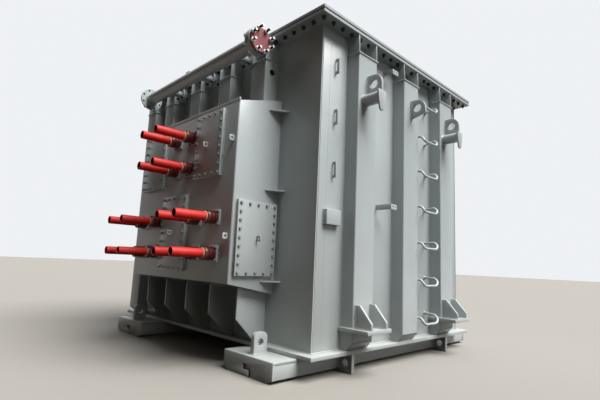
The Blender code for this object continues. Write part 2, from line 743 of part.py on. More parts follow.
def bolted_covers():
    lower_rows_top = max(LOWER_ROWS) + TERMINAL_PLATE / 2
    upper_rows_base = min(UPPER_ROWS) - TERMINAL_PLATE / 2
    front_cover("front_cover_1", BOX_RIGHT - RIGHT_COVER_PLACE, RIGHT_COVER_WIDTH,
                lower_rows_top + RIGHT_COVER_CLEARANCE, BOX_FRONT_TOP - RIGHT_COVER_DROP)
    front_cover("front_cover_2", BOX_RIGHT - LEFT_COVER_PLACE, LEFT_COVER_WIDTH,
                lower_rows_top + LEFT_COVER_CLEARANCE, BOX_FRONT_TOP - LEFT_COVER_DROP)
    front_cover("front_cover_3", BOX_RIGHT - LOWER_COVER_PLACE, LOWER_COVER_WIDTH,
                BOX_FRONT_BASE + LOWER_COVER_RISE, upper_rows_base - LOWER_COVER_CLEARANCE)
    face = BOX_RIGHT + GAP
    y = (BOX_FRONT + SIDE_COVER_FRONT_INSET, -HALF_DEPTH - SIDE_COVER_WALL_INSET)
    base = level(BOX_FRONT_BASE + SIDE_COVER_RISE)
    top = level(SHELF_HEIGHTS[1] - SIDE_COVER_UNDER_SHELF)
    cover = place("side_cover", slab("side_cover", (face, face + COVER_THICKNESS), y, (base, top)),
                  grey_paint)
    plate, hole = side_eye(face + COVER_THICKNESS, sum(y) / 2, (base + top) / 2)
    join(cover, plate)
    cut(cover, hole)


def terminal_profile():
    """Ribbed sleeve, collar and open tube, from inside the flange to the mouth and back."""
    sleeve = SLEEVE_DIAMETER / 2
    tube = TERMINAL_TUBE / 2
    bore = TERMINAL_BORE / 2
    start = TERMINAL_PLATE_THICKNESS / 2
    profile = [(start, 0), (start, sleeve)]
    for middle in GROOVE_PLACES:
        profile += [(middle - GROOVE_WIDTH / 2, sleeve), (middle, GROOVE_DIAMETER / 2),
                    (middle + GROOVE_WIDTH / 2, sleeve)]
    collar_end = SLEEVE_LENGTH + COLLAR_LENGTH
    bore_end = TERMINAL_LENGTH - TERMINAL_BORE_DEPTH
    profile += [(SLEEVE_LENGTH, sleeve), (SLEEVE_LENGTH, COLLAR_DIAMETER / 2),
                (collar_end, COLLAR_DIAMETER / 2), (collar_end, tube), (TERMINAL_LENGTH, tube),
                (TERMINAL_LENGTH, bore), (bore_end, bore), (bore_end, 0)]
    return profile


def terminals():
    """Twelve tube terminals in three groups of four on the box's front."""
    half = TERMINAL_PLATE / 2
    groups = ((UPPER_COLUMNS, UPPER_ROWS), (RIGHT_COLUMNS, LOWER_ROWS), (LEFT_COLUMNS, LOWER_ROWS))
    spots = [(column, row) for columns, rows in groups for row in rows for column in columns]
    for number, (column, row) in enumerate(spots, 1):
        name = f"terminal_{number:02d}"
        plate = slab(name, (GAP, TERMINAL_PLATE_THICKNESS), (-half, half), (-half, half))
        location = (BOX_RIGHT - column, BOX_FRONT, level(row))
        piece = place(name, plate, red_sleeve, location, -math.pi / 2)
        join(piece, turned("sleeve_and_tube", terminal_profile(), "X", (0, 0, 0), TERMINAL_SIDES))


def header_profile():
    """A thin flange at the far end, the pipe, and a thick neck at the near end."""
    pipe = HEADER_PIPE / 2
    flange = HEADER_FLANGE / 2
    neck = HEADER_NECK / 2
    flange_end = HEADER_FAR + HEADER_FLANGE_THICKNESS
    neck_start = HEADER_NEAR - HEADER_NECK_THICKNESS
    return [(HEADER_FAR, 0), (HEADER_FAR, flange), (flange_end, flange), (flange_end, pipe),
            (neck_start, pipe), (neck_start, neck), (HEADER_NEAR, neck), (HEADER_NEAR, 0)]


def branch_profile():
    """A branch with a pair of flanges that hold a wafer between them."""
    pipe = BRANCH_PIPE / 2
    flange = BRANCH_FLANGE / 2
    wafer = BRANCH_WAFER / 2
    start = HEADER_REACH - BRANCH_FLANGE_REACH - BRANCH_FLANGE_PAIR / 2
    inner_start = start + BRANCH_FLANGE_PLATE
    end = start + BRANCH_FLANGE_PAIR
    inner_end = end - BRANCH_FLANGE_PLATE
    wall = HEADER_REACH - GAP
    return [(BRANCH_ROOT, 0), (BRANCH_ROOT, pipe), (start, pipe), (start, flange),
            (inner_start, flange), (inner_start, wafer), (inner_end, wafer), (inner_end, flange),
            (end, flange), (end, pipe), (wall, pipe), (wall, 0)]


def cooling_header():
    """A header along the rim with flanged branches, bored through as one hollow, and a loop."""
    centre = Vector((0, -HALF_DEPTH - HEADER_REACH, RIM_BASE - HEADER_DROP))
    header = place("header_pipe", turned("header_pipe", header_profile(), "X", (0, 0, 0),
                                         HEADER_SIDES), grey_paint, centre)
    middles = [BRANCH_FIRST - BRANCH_PITCH * number for number in range(BRANCH_COUNT)]
    for middle in middles:
        join(header, turned("branch", branch_profile(), "Y", (middle, 0, 0), BRANCH_SIDES))
    crown = (HEADER_PIPE + HEADER_BORE) / 4
    loop_top = HEADER_PIPE / 2 + HEADER_LOOP_RISE
    first = HEADER_LOOP_PLACE - HEADER_LOOP_WIDTH / 2
    last = HEADER_LOOP_PLACE + HEADER_LOOP_WIDTH / 2
    route = [(first, 0, crown), (first, 0, loop_top), (last, 0, loop_top), (last, 0, crown)]
    join(header, rod("loop", route, HEADER_LOOP_ROD, SMALL_ROD_SIDES))
    cut(header, cylinder("main_bore", "X", (HEADER_FAR - SPARE, 0, 0), HEADER_BORE,
                         HEADER_NEAR - HEADER_FAR + 2 * SPARE, HEADER_SIDES))
    for middle in middles:
        cut(header, cylinder("branch_bore", "Y", (middle, 0, 0), BRANCH_BORE,
                             HEADER_REACH + SPARE, BRANCH_SIDES))
    place("header_end_cover",
          cylinder("header_end_cover", "X", (HEADER_NEAR + GAP, 0, 0), HEADER_BLANK,
                   HEADER_BLANK_THICKNESS, HEADER_SIDES), oxide_red, centre)


def skid(name, centre):
    """A box runner under the tank: lugs and slotted toes at its ends, pulling plates outside.

    The toe slots open its hollow."""
    half = SKID_WIDTH / 2
    front = HALF_DEPTH + SKID_REACH
    sole = half - SKID_CHAMFER
    section = [(-sole, 0), (sole, 0), (half, SKID_SOLE_EDGE), (half, SKID_HEIGHT),
               (-half, SKID_HEIGHT), (-half, SKID_SOLE_EDGE)]
    piece = place(name, extruded(name, section, "Y", -front, front), grey_paint, (centre, 0, 0))
    cut(piece, slab("hollow", (-sole, sole), (SKID_PLATE - front, front - SKID_PLATE),
                    (SKID_PLATE, SKID_HEIGHT - SKID_PLATE)))
    outside = 1 if centre > 0 else -1
    for end in (-1, 1):
        join(piece, lifting_lug(end * (front - LUG_SETBACK - LUG_LENGTH / 2)))
        cut(piece, lug_hole(end * (front - LUG_SETBACK - LUG_LENGTH / 2)),
            toe_slot(sorted((end * (front + SPARE), end * (front - TOE_DEPTH)))))
        plate, hole = pulling_plate(outside, end * PULL_PLACE)
        join(piece, plate)
        cut(piece, hole)


def lifting_lug(middle):
    """A plate standing on the skid, along it, with both top corners rounded."""
    half = LUG_LENGTH / 2
    top = SKID_HEIGHT + LUG_HEIGHT
    root = SKID_HEIGHT - SKID_PLATE / 2
    far = quarter_round((middle + half - LUG_CROWN, top - LUG_CROWN), LUG_CROWN, 0, 4)
    near = quarter_round((middle - half + LUG_CROWN, top - LUG_CROWN), LUG_CROWN, 1, 4)
    outline = [(middle - half, root), (middle + half, root), *far, *near]
    return extruded("lug", outline, "X", -LUG_THICKNESS / 2, LUG_THICKNESS / 2)


def lug_hole(middle):
    centre = (-LUG_THICKNESS, middle, SKID_HEIGHT + LUG_HOLE_RISE)
    return cylinder("lug_hole", "X", centre, LUG_HOLE, 2 * LUG_THICKNESS, HOLE_SIDES)


def toe_slot(limits):
    """A level slot in the skid's toe with a narrow cleft from it down through the sole."""
    half = TOE_SLOT_WIDTH / 2
    top = TOE_SLOT_BASE + TOE_SLOT_HEIGHT
    outline = [(-half, TOE_SLOT_BASE), (half - TOE_CLEFT, TOE_SLOT_BASE),
               (half - TOE_CLEFT, -SPARE), (half, -SPARE), (half, top), (-half, top)]
    return extruded("toe_slot", outline, "Y", *limits)


def pulling_plate(outside, middle):
    """A plate on the skid's outer side, across it, and the cylinder that bores it."""
    half = SKID_WIDTH / 2
    root = outside * (half - SKID_PLATE / 2)
    tip = outside * (half + PULL_REACH)
    plate = slab("pull_plate", sorted((root, tip)),
                 (middle - PULL_PLATE / 2, middle + PULL_PLATE / 2),
                 (PULL_LIFT, SKID_HEIGHT - PULL_LIFT))
    centre = (outside * (half + PULL_REACH / 2), middle - PULL_PLATE, SKID_HEIGHT / 2)
    return plate, cylinder("pull_hole", "Y", centre, PULL_HOLE, 2 * PULL_PLATE, HOLE_SIDES)


for item in list(bpy.data.objects):
    bpy.data.objects.remove(item)

grey_paint = material("grey_paint", (0.36, 0.40, 0.38), 0.32)
rubber = material("rubber", (0.03, 0.03, 0.03), 0.7)
red_sleeve = material("red_sleeve", (0.62, 0.03, 0.02), 0.4)
oxide_red = material("oxide_red", (0.25, 0.02, 0.02), 0.5)

transformer = bpy.data.objects.new("transformer", None)
transformer.location = (0, (FRONT_REACH - BACK_REACH) / 2, 0)
bpy.context.scene.collection.objects.link(transformer)

floor_and_walls()
rim_and_cover()
end_stiffeners()
long_side_stiffeners()
terminal_box()
bolted_covers()
terminals()
cooling_header()
for side, middle in SKID_CENTRES.items():
    skid(f"skid_{side}", middle)
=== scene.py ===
import bmesh
import bpy
from math import copysign, cos, pi, radians, sin, tau
from mathutils import Matrix, Vector


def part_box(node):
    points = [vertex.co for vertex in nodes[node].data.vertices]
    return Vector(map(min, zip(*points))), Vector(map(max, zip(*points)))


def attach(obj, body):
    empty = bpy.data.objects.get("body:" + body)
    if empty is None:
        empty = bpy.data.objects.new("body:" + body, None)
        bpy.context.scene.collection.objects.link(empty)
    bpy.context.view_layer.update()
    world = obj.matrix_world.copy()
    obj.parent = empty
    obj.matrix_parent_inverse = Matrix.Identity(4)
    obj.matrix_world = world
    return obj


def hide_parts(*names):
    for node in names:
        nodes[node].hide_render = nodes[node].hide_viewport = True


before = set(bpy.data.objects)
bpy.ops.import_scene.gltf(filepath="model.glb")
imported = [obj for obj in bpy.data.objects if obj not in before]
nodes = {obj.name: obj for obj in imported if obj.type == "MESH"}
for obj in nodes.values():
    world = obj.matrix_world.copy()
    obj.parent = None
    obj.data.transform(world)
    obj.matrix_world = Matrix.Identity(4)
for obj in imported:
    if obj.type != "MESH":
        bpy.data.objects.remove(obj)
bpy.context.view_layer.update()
print("frame loaded,", len(nodes), "nodes")

# Planes that the pieces are set against, read from the frame
seat = 0.0003  # the clearance between CAD pieces that touch
tankLeft, tankRight = [corner.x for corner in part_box("front_wall")]
tankFront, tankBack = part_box("front_wall")[0].y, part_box("back_wall")[1].y
floorBase, floorTop = [corner.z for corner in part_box("tank_bottom_plate")]
floorBase -= seat
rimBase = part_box("rim_flange")[0].z
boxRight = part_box("side_cover")[0].x - seat
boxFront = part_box("terminal_01")[1].y + seat
middleY = (tankFront + tankBack) / 2
up = Vector((0, 0, 1))


def level(height):
    return floorBase + height


def addObject(name, data):
    made = bpy.data.objects.new(name, data)
    bpy.context.scene.collection.objects.link(made)
    return made


def addMesh(name, bm, material):
    mesh = bpy.data.meshes.new(name)
    bm.to_mesh(mesh)
    bm.free()
    mesh.materials.append(material)
    return addObject(name, mesh)


def take(settings, keys):
    return [settings[key] for key in keys.split()]


def setInputs(tree, node, inputs):
    for key, value in inputs.items():
        value = getattr(value, "socket", value)
        if isinstance(value, bpy.types.NodeSocket):
            tree.links.new(value, node.inputs[key])
        else:
            node.inputs[key].default_value = value


# Shader maths: a Link is a socket that can be added, scaled and compared
class Link:
    def __init__(self, finish, socket):
        self.finish, self.socket = finish, socket

    def maths(self, operation, first, second):
        return self.finish.link("Math", {0: first, 1: second}, operation=operation)

    def __add__(self, other):
        return self.maths("ADD", self, other)

    def __rsub__(self, other):
        return self.maths("SUBTRACT", other, self)

    def __mul__(self, other):
        return self.maths("MULTIPLY", self, other)

    def above(self, low, high):
        inputs = {"Value": self, "From Min": low, "From Max": high}
        return self.finish.link("MapRange", inputs, "Result")


class Finish:
    def __init__(self, name, holders=bpy.data.materials, shader="Principled BSDF", place="Object"):
        self.holder = holders.new(name)
        self.holder.use_nodes = True
        self.tree = self.holder.node_tree
        self.shader = self.tree.nodes[shader]
        self.place = self.link("TexCoord", {}, place)

    def link(self, kind, inputs, output=0, **settings):
        made = self.tree.nodes.new(f"ShaderNode{kind}")
        for key, value in settings.items():
            setattr(made, key, value)
        setInputs(self.tree, made, inputs)
        return Link(self, made.outputs[output])

    def noise(self, scale, detail=2.0, stretch=(1, 1, 1)):
        spread = self.link("Mapping", {"Vector": self.place, "Scale": stretch})
        inputs = {"Vector": spread, "Scale": scale, "Detail": detail}
        return self.link("TexNoise", inputs, "Fac")

    def rise(self, vector):
        return self.link("SeparateXYZ", {0: vector}, "Z")

    def blend(self, factor, *tones):
        first, second = [tone if isinstance(tone, Link) else (*tone, 1.0) for tone in tones]
        return self.link("Mix", {0: factor, 6: first, 7: second}, 2, data_type="RGBA")

    def bump(self, height, strength, distance, **under):
        inputs = {"Height": height, "Strength": strength, "Distance": distance, **under}
        return self.link("Bump", inputs)

    def feed(self, **sockets):
        setInputs(self.tree, self.shader, {key.replace("_", " "): value for key, value in sockets.items()})
        return self.holder


# Gloss paint: uneven plates, orange peel, faint runs and dust near the ground and on ledges
paint = dict(body=(0.385, 0.428, 0.438), warm=(0.38, 0.412, 0.41), pale=(0.42, 0.462, 0.47),
             grime=(0.17, 0.16, 0.13), dust=(0.46, 0.43, 0.38))


def paintFinish(name):
    made = Finish(name)
    base = made.blend(made.noise(0.9, 3).above(0.36, 0.66), paint["body"], paint["warm"])
    base = made.blend(made.noise(3.1, 4).above(0.52, 0.74) * 0.5, base, paint["pale"])
    runs = made.noise(6.0, 4, (1, 1, 0.07)).above(0.56, 0.74)
    low = 1 - made.rise(made.place).above(0.08, 0.45)
    base = made.blend(runs * 0.06 + low * runs * 0.1, base, paint["grime"])
    ledge = made.rise(made.link("NewGeometry", {}, "Normal")).above(0.6, 0.95)
    dusty = (low * made.noise(48.0, 4).above(0.42, 0.7) * 0.16
             + ledge * made.noise(7.0, 4).above(0.35, 0.68) * 0.55)
    base = made.blend(dusty, base, paint["dust"])
    base = made.blend(made.noise(130.0, 3).above(0.7, 0.76) * 0.35, base, paint["grime"])
    waves = made.bump(made.noise(1.7, 2), 0.24, 0.02)
    ripple = made.bump(made.noise(13.0, 2), 0.12, 0.004, Normal=waves)
    peel = made.bump(made.noise(420.0, 2), 0.12, 0.0004, Normal=ripple)
    return made.feed(Base_Color=base, Roughness=made.noise(2.5, 3) * 0.16 + 0.27 + dusty * 0.35,
                     Normal=peel, Coat_Weight=0.22, Coat_Roughness=0.14)


def mixedFinish(name, tones, mix, rough, limits=(0, 1), grain=None, patch=None, **extra):
    # two tones mixed by a noise between limits, a third in patches, uneven roughness and a grain
    made = Finish(name)
    base = made.blend(made.noise(*mix).above(*limits), *tones)
    if patch:
        spread, limits, share, tone = patch
        base = made.blend(made.noise(*spread).above(*limits) * share, base, tone)
    if grain:
        scale, detail, strength, depth = grain
        extra["Normal"] = made.bump(made.noise(scale, detail), strength, depth)
    scale, detail, share, least = rough
    return made.feed(Base_Color=base, Roughness=made.noise(scale, detail) * share + least, **extra)


def steelFinish(name, tones, least, shine):
    return mixedFinish(name, tones, (45, 4), (80, 2, 0.25, least), (0.35, 0.7), (500, 2, 0.2, 0.0004),
                       Metallic=shine)


tankPaint = paintFinish("tank paint")
gasketRubber = mixedFinish("gasket rubber", ((0.01, 0.01, 0.013), (0.028, 0.028, 0.032)), (300, 3),
                           rough=(300, 3, 0, 0.75), grain=(300, 3, 0.3, 0.0005))
boreShadow = mixedFinish("bore shadow", ((0.004, 0.003, 0.003), (0.016, 0.009, 0.008)), (60, 3),
                         rough=(60, 3, 0, 0.9), Specular_IOR_Level=0.1)
tubeRed = mixedFinish("red tube", ((0.62, 0.022, 0.017), (0.5, 0.014, 0.012)), (12, 3),
                      rough=(20, 2, 0.18, 0.42), limits=(0.4, 0.7), grain=(90, 2, 0.12, 0.001),
                      patch=((40, 4, (1, 0.2, 1)), (0.66, 0.8), 0.3, (0.78, 0.17, 0.13)),
                      Specular_IOR_Level=0.3)
sleeveRed = mixedFinish("dark red sleeve", ((0.06, 0.004, 0.0035), (0.105, 0.007, 0.006)), (18, 3),
                        rough=(25, 2, 0.2, 0.32), grain=(120, 2, 0.15, 0.001), Coat_Weight=0.1)
collarTan = mixedFinish("tan collar", ((0.5, 0.29, 0.17), (0.68, 0.46, 0.31)), (60, 2),
                        rough=(90, 2, 0.2, 0.35))
oxidePrimer = mixedFinish("red oxide primer", ((0.25, 0.052, 0.07), (0.205, 0.036, 0.04)), (7, 4),
                          rough=(250, 3, 0.2, 0.45), limits=(0.35, 0.7), grain=(250, 3, 0.2, 0.0006),
                          patch=((28, 4), (0.6, 0.75), 0.4, (0.33, 0.1, 0.11)))
zincSteel = steelFinish("zinc plated steel", ((0.84, 0.84, 0.84), (0.62, 0.62, 0.62)), 0.34, 0.3)
paintedSteel = steelFinish("painted bolts", ((0.27, 0.3, 0.305), (0.2, 0.215, 0.22)), 0.4, 0.0)
darkSteel = steelFinish("dark steel", ((0.03, 0.03, 0.034), (0.014, 0.014, 0.017)), 0.45, 0.6)
print("finishes made")


# Shapes that every piece is made of
bevelAngle, sharpAngle = radians(35), radians(32)
cornerShare = 0.577  # of a hexagon's size over the flats, from its middle to a corner


def softenEdges(bm, verts, width, segments=2):
    edges = {edge for vert in verts for edge in vert.link_edges}
    chosen = [edge for edge in edges if len(edge.link_faces) == 2 and edge.calc_face_angle(0) > bevelAngle]
    bmesh.ops.bevel(bm, geom=chosen, offset=width, affect="EDGES", segments=segments, profile=0.5,
                    material=-1)


def addBlock(bm, low, high, edge=0.002, segments=2):
    low, high = [Vector(map(limit, low, high)) for limit in (min, max)]
    verts = bmesh.ops.create_cube(bm, size=1.0)["verts"]
    bmesh.ops.scale(bm, verts=verts, vec=high - low)
    bmesh.ops.translate(bm, verts=verts, vec=(low + high) / 2)
    if edge:
        softenEdges(bm, verts, edge, segments)


def arcPoints(centre, radius, start, steps=4, quarters=1):
    # points round part of a circle, anticlockwise from a start counted in quarter turns
    turns = [pi / 2 * (start + quarters * step / steps) for step in range(steps + 1)]
    return [(centre[0] + radius * cos(turn), centre[1] + radius * sin(turn)) for turn in turns]


def ringSpots(centre, radius, count, shift=0.5):
    return arcPoints(centre, radius, 4 * shift / count, count, 4)[:-1]


def tongue(root, tip, low, high, corner):
    # a strip's outline whose two corners at the tip are round
    return [(root, low), *arcPoints((tip - corner, low + corner), corner, 3),
            *arcPoints((tip - corner, high - corner), corner, 0), (root, high)]


def discProfile(start, stop, radius, edge=0.001):
    return [(start, radius - edge), (start + edge, radius), (stop - edge, radius), (stop, radius - edge)]


def circlePoints(centre, radius, across, along, count):
    return [centre + (across * cos(tau * step / count)
                      + along * sin(tau * step / count)) * radius for step in range(count)]


def addSheet(bm, points, thickness, holes=(), edge=0.0015, segments=2):
    # a flat outline with round holes (centre, radius, sides) pushed out by a thickness
    points = [Vector(point) for point in points]
    thickness = Vector(thickness)
    across = (points[1] - points[0]).normalized()
    along = thickness.normalized().cross(across)
    loops = [points] + [circlePoints(Vector(centre), radius, across, along, sides)
                        for centre, radius, sides in holes]
    verts, edges = [], []
    for loop in loops:
        ring = [bm.verts.new(point) for point in loop]
        edges += [bm.edges.new(pair) for pair in zip(ring, ring[1:] + ring[:1])]
        verts += ring
    if holes:
        filled = bmesh.ops.triangle_fill(bm, use_beauty=True, edges=edges, normal=thickness)
        faces = [item for item in filled["geom"] if isinstance(item, bmesh.types.BMFace)]
    else:
        faces = [bm.faces.new(verts)]
    grown = bmesh.ops.extrude_face_region(bm, geom=faces)
    raised = [item for item in grown["geom"] if isinstance(item, bmesh.types.BMVert)]
    bmesh.ops.translate(bm, verts=raised, vec=thickness)
    sides = {face for vert in verts + raised for face in vert.link_faces}
    bmesh.ops.recalc_face_normals(bm, faces=list(sides))
    if edge:
        softenEdges(bm, verts + raised, edge, segments)


def lift(axis, spot, place):
    # the point that lies at a place along axis 0, 1 or 2, with its other two coordinates given
    return Vector((*spot[:axis], place, *spot[axis:]))


def addPlate(bm, axis, place, shape, thickness, holes=(), edge=0.0015, segments=2, seams=()):
    # a sheet that lies across an axis; each seam (start, end, size) runs along both of its faces
    drilled = [(lift(axis, spot, place), radius, sides) for spot, radius, sides in holes]
    outline = [lift(axis, spot, place) for spot in shape]
    addSheet(bm, outline, lift(axis, (0, 0), thickness), drilled, edge, segments)
    for start, end, size in seams:
        addSeams(bm, axis, (place, place + thickness), start, end, size)


def addCutSheet(bm, points, thickness, cuts, edge=0.0):
    # a pushed-out outline whose ends are cut off by planes (point, normal)
    part = bmesh.new()
    addSheet(part, points, thickness, edge=0)
    for point, normal in cuts:
        sliced = bmesh.ops.bisect_plane(part, geom=[*part.verts, *part.edges, *part.faces], dist=0.00001,
                                        plane_co=point, plane_no=normal, clear_outer=True)
        rim = [item for item in sliced["geom_cut"] if isinstance(item, bmesh.types.BMEdge)]
        bmesh.ops.edgeloop_fill(part, edges=rim)
    bmesh.ops.recalc_face_normals(part, faces=part.faces)
    if edge:
        softenEdges(part, list(part.verts), edge)
    mesh = bpy.data.meshes.new("cut sheet")
    part.to_mesh(mesh)
    part.free()
    bm.from_mesh(mesh)
    bpy.data.meshes.remove(mesh)


def mendAdded(bm, known):
    # joins doubled points of what was added after known was taken, and turns its faces outward
    added = [vert for vert in bm.verts if vert not in known]
    bmesh.ops.remove_doubles(bm, verts=added, dist=0.00002)
    faces = {face for vert in bm.verts if vert not in known for face in vert.link_faces}
    bmesh.ops.recalc_face_normals(bm, faces=list(faces))


def addTurned(bm, profile, centre, axis, steps=32):
    axis, centre = Vector(axis).normalized(), Vector(centre)
    side = axis.orthogonal().normalized()
    known = set(bm.verts)
    points = [bm.verts.new(centre + axis * run + side * radius) for run, radius in profile]
    edges = [bm.edges.new(pair) for pair in zip(points, points[1:])]
    if profile[0][1] > 0:
        edges.append(bm.edges.new((points[-1], points[0])))
    bmesh.ops.spin(bm, geom=points + edges, cent=centre, axis=axis, dvec=(0, 0, 0), angle=tau,
                   steps=steps, use_merge=True, use_duplicate=False)
    mendAdded(bm, known)


def addPrism(bm, centre, direction, radius, depth, sides, top=None):
    # a straight or tapered prism standing on its centre, along its direction
    direction = Vector(direction).normalized()
    turn = up.rotation_difference(direction).to_matrix().to_4x4()
    place = Matrix.Translation(Vector(centre) + direction * depth / 2) @ turn
    bmesh.ops.create_cone(bm, cap_ends=True, cap_tris=False, segments=sides, radius1=radius,
                          radius2=radius if top is None else top, depth=depth, matrix=place)


def addStack(bm, centre, direction, layers):
    # prisms on top of each other, each given by its radius, depth, sides and upper radius
    direction, base = Vector(direction), Vector(centre)
    for radius, depth, sides, top in layers:
        addPrism(bm, base, direction, radius, depth, sides, top)
        base += direction * depth


def addBolt(bm, centre, direction, across, height):
    # washer and hexagon head; across is the size over the flats
    wide = across * cornerShare
    layers = [(across * 0.62, height * 0.2, 16, None), (wide, height * 0.62, 6, None)]
    addStack(bm, centre, direction, layers + [(wide, height * 0.18, 6, across * 0.47)])


def addNut(bm, centre, direction, across, height, stud):
    # nut with a stud end standing out of it
    wide = across * cornerShare
    layers = [(wide, height * 0.85, 6, None), (wide, height * 0.15, 6, across * 0.48)]
    addStack(bm, centre, direction, layers + ([(across * 0.3, stud, 10, None)] if stud else []))


def roundedRoute(route, bend, steps=5):
    stops = [Vector(point) for point in route]
    path = [stops[0]]
    for before, corner, after in zip(stops, stops[1:], stops[2:]):
        reach = min(bend, (before - corner).length * 0.45, (after - corner).length * 0.45)
        start = corner + (before - corner).normalized() * reach
        end = corner + (after - corner).normalized() * reach
        for step in range(steps + 1):
            part = step / steps
            path.append(start.lerp(corner, part).lerp(corner.lerp(end, part), part))
    return path + [stops[-1]]


def addRod(bm, path, radius, sides, swell=None):
    # a round bar along a path; swell gives each point's share of the radius
    curve = bpy.data.curves.new("rod", "CURVE")
    curve.dimensions = "3D"
    curve.bevel_depth = radius
    curve.bevel_resolution = sides
    curve.use_fill_caps = True
    line = curve.splines.new("POLY")
    line.points.add(len(path) - 1)
    for number, (point, stop) in enumerate(zip(line.points, path)):
        point.co = (*stop, 1.0)
        point.radius = swell[number] if swell else 1.0
    holder = addObject("rod", curve)
    mesh = bpy.data.meshes.new_from_object(holder.evaluated_get(bpy.context.evaluated_depsgraph_get()))
    known = set(bm.verts)
    bm.from_mesh(mesh)
    mendAdded(bm, known)
    bpy.data.objects.remove(holder)
    bpy.data.curves.remove(curve)
    bpy.data.meshes.remove(mesh)


weld = dict(size=0.0045, pitch=0.013, waist=0.82)


def addWeld(bm, start, end, size=None):
    # a rippled bead from start to end
    start, end = Vector(start), Vector(end)
    count = max(4, int((end - start).length / weld["pitch"] * 2))
    path = [start.lerp(end, step / count) for step in range(count + 1)]
    swell = [1.0 if step % 2 else weld["waist"] for step in range(count + 1)]
    addRod(bm, path, size or weld["size"], 0, swell)


def addSeams(bm, axis, places, start, end, size=None):
    # beads side by side at some places along an axis
    for place in places:
        addWeld(bm, lift(axis, start, place), lift(axis, end, place), size)


def addSeamRing(bm, axis, place, low, high, size=None):
    # beads round a rectangle that lies across an axis
    (a0, b0), (a1, b1) = low, high
    ends = [((a0, b), (a1, b)) for b in (b0, b1)] + [((a, b0), (a, b1)) for a in (a0, a1)]
    for start, end in ends:
        addSeams(bm, axis, [place], start, end, size)


def finishPiece(name, bm, material, replaced=(), place=None):
    if place:
        bmesh.ops.transform(bm, matrix=place, verts=bm.verts)
    piece = addMesh(name, bm, material)
    piece.data.shade_smooth()
    piece.data.set_sharp_from_angle(angle=sharpAngle)
    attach(piece, "root")
    if replaced:
        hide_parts(*replaced)


def replaceNode(node, bm, material=tankPaint, place=None):
    finishPiece(f"{node}_finished", bm, material, [node], place)


def nodeMiddle(node):
    low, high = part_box(node)
    return (low + high) / 2


def facing(side):
    # the turn that takes a wall's own x, out of the wall, to the side it faces
    x, y, quarters = {"right": (tankRight, middleY, 0), "back": (0, tankBack, 1),
                      "left": (tankLeft, middleY, 2), "front": (0, tankFront, -1)}[side]
    return Matrix.Translation((x, y, 0)) @ Matrix.Rotation(quarters * pi / 2, 4, "Z")


def nodePlace(side, node):
    # the wall's frame moved along the wall to a node's middle
    middle = nodeMiddle(node)
    along = (0, middle.y - middleY, 0) if side in ("right", "left") else (middle.x, 0, 0)
    return Matrix.Translation(along) @ facing(side)


# Small drilled eye plates, as on the covers and the terminal box
smallEye = dict(plate=0.008, reach=0.045, hole=0.009, corner=0.012)


def addSmallEye(bm, root, out, thin):
    out, thin = Vector(out), Vector(thin)
    plate, reach, hole, corner = take(smallEye, "plate reach hole corner")
    start = Vector(root) - thin * plate / 2
    points = [start + out * a + up * b for a, b in tongue(0, reach, -reach / 2, reach / 2, corner)]
    addSheet(bm, points, thin * plate, [(start + out * reach / 2, hole, 16)], 0.001)


# Rim: flange, gasket and cover, drilled for bolts whose nuts and ends hang under the flange
rim = dict(pitch=0.11, line=0.07, hole=0.011, shank=0.0108, head=0.03, cover=0.024, nut=0.017, stud=0.01,
           clear=0.027)


def clearOf(place, webs):
    # a bolt that would foul a web of a stiffener moves just clear of it
    for web in webs:
        if abs(place - web) < rim["clear"]:
            return web + copysign(rim["clear"], place - web)
    return place


def webPlaces(side, count, half, axis):
    middles = [sum(corner[axis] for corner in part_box(f"{side}_stiffener_{number}")) / 2
               for number in range(1, count + 1)]
    return [middle + turn * half for middle in middles for turn in (-1, 1)]


def rimSpots():
    outX, outY = tankRight + rim["line"], tankBack - middleY + rim["line"]
    countX, countY = round(2 * outX / rim["pitch"]), round(2 * outY / rim["pitch"])
    spots = [(x, middleY + y) for x in (-outX, outX) for y in (-outY, outY)]
    for side, y, count in (("front", middleY - outY, 5), ("back", middleY + outY, 3)):
        webs = webPlaces(side, count, 0.09, 0)
        spots += [(clearOf(-outX + 2 * outX * number / countX, webs), y) for number in range(1, countX)]
    for side, x in (("left", -outX), ("right", outX)):
        webs = webPlaces(side, 3, 0.115, 1)
        spots += [(x, clearOf(middleY - outY + 2 * outY * number / countY, webs))
                  for number in range(1, countY)]
    return spots


def makeRim():
    spots = rimSpots()
    hole, shank, head, cover = take(rim, "hole shank head cover")
    for name, material, slot, edge in (("rim_flange", tankPaint, "grey_paint", 0.002),
                                       ("cover_gasket", gasketRubber, "gasket_rubber", 0.001),
                                       ("cover_plate", tankPaint, "grey_paint", 0.002)):
        low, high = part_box(name)
        thick = cover if name == "cover_plate" else high.z - low.z
        corners = [(low.x, low.y), (high.x, low.y), (high.x, high.y), (low.x, high.y)]
        bm = bmesh.new()
        addPlate(bm, 2, low.z, corners, thick, [(spot, hole, 12) for spot in spots], edge, 1)
        replaceNode(name, bm, material)
    top = low.z + cover
    bolts = bmesh.new()
    for x, y in spots:
        addBolt(bolts, (x, y, top), up, head, high.z - top - 0.0002)
        addPrism(bolts, (x, y, rimBase - 0.001), up, shank, top - rimBase + 0.002, 10)
        addNut(bolts, (x, y, rimBase), -up, head, rim["nut"], rim["stud"])
    finishPiece("rim_bolts", bolts, darkSteel)


makeRim()
print("rim made")


# Right wall: plate, flat bar clips, pad, two drilled arms and the weld seam beside the front edge
wall = dict(clip=0.01, clipStand=0.038, clipBar=0.022, clipHeight=0.125, clipPlace=0.16, clipTop=2.181,
            clipPitch=0.414, clips=3, pad=(0.15, 0.158, 0.932, 0.114, 0.04), arm=0.008, armHeight=0.044,
            armHead=0.088, armHole=0.006, armPitch=0.04, arms=((0.72, 0.15, 1.112), (0.8, 0.1, 2.33)),
            seam=0.097)


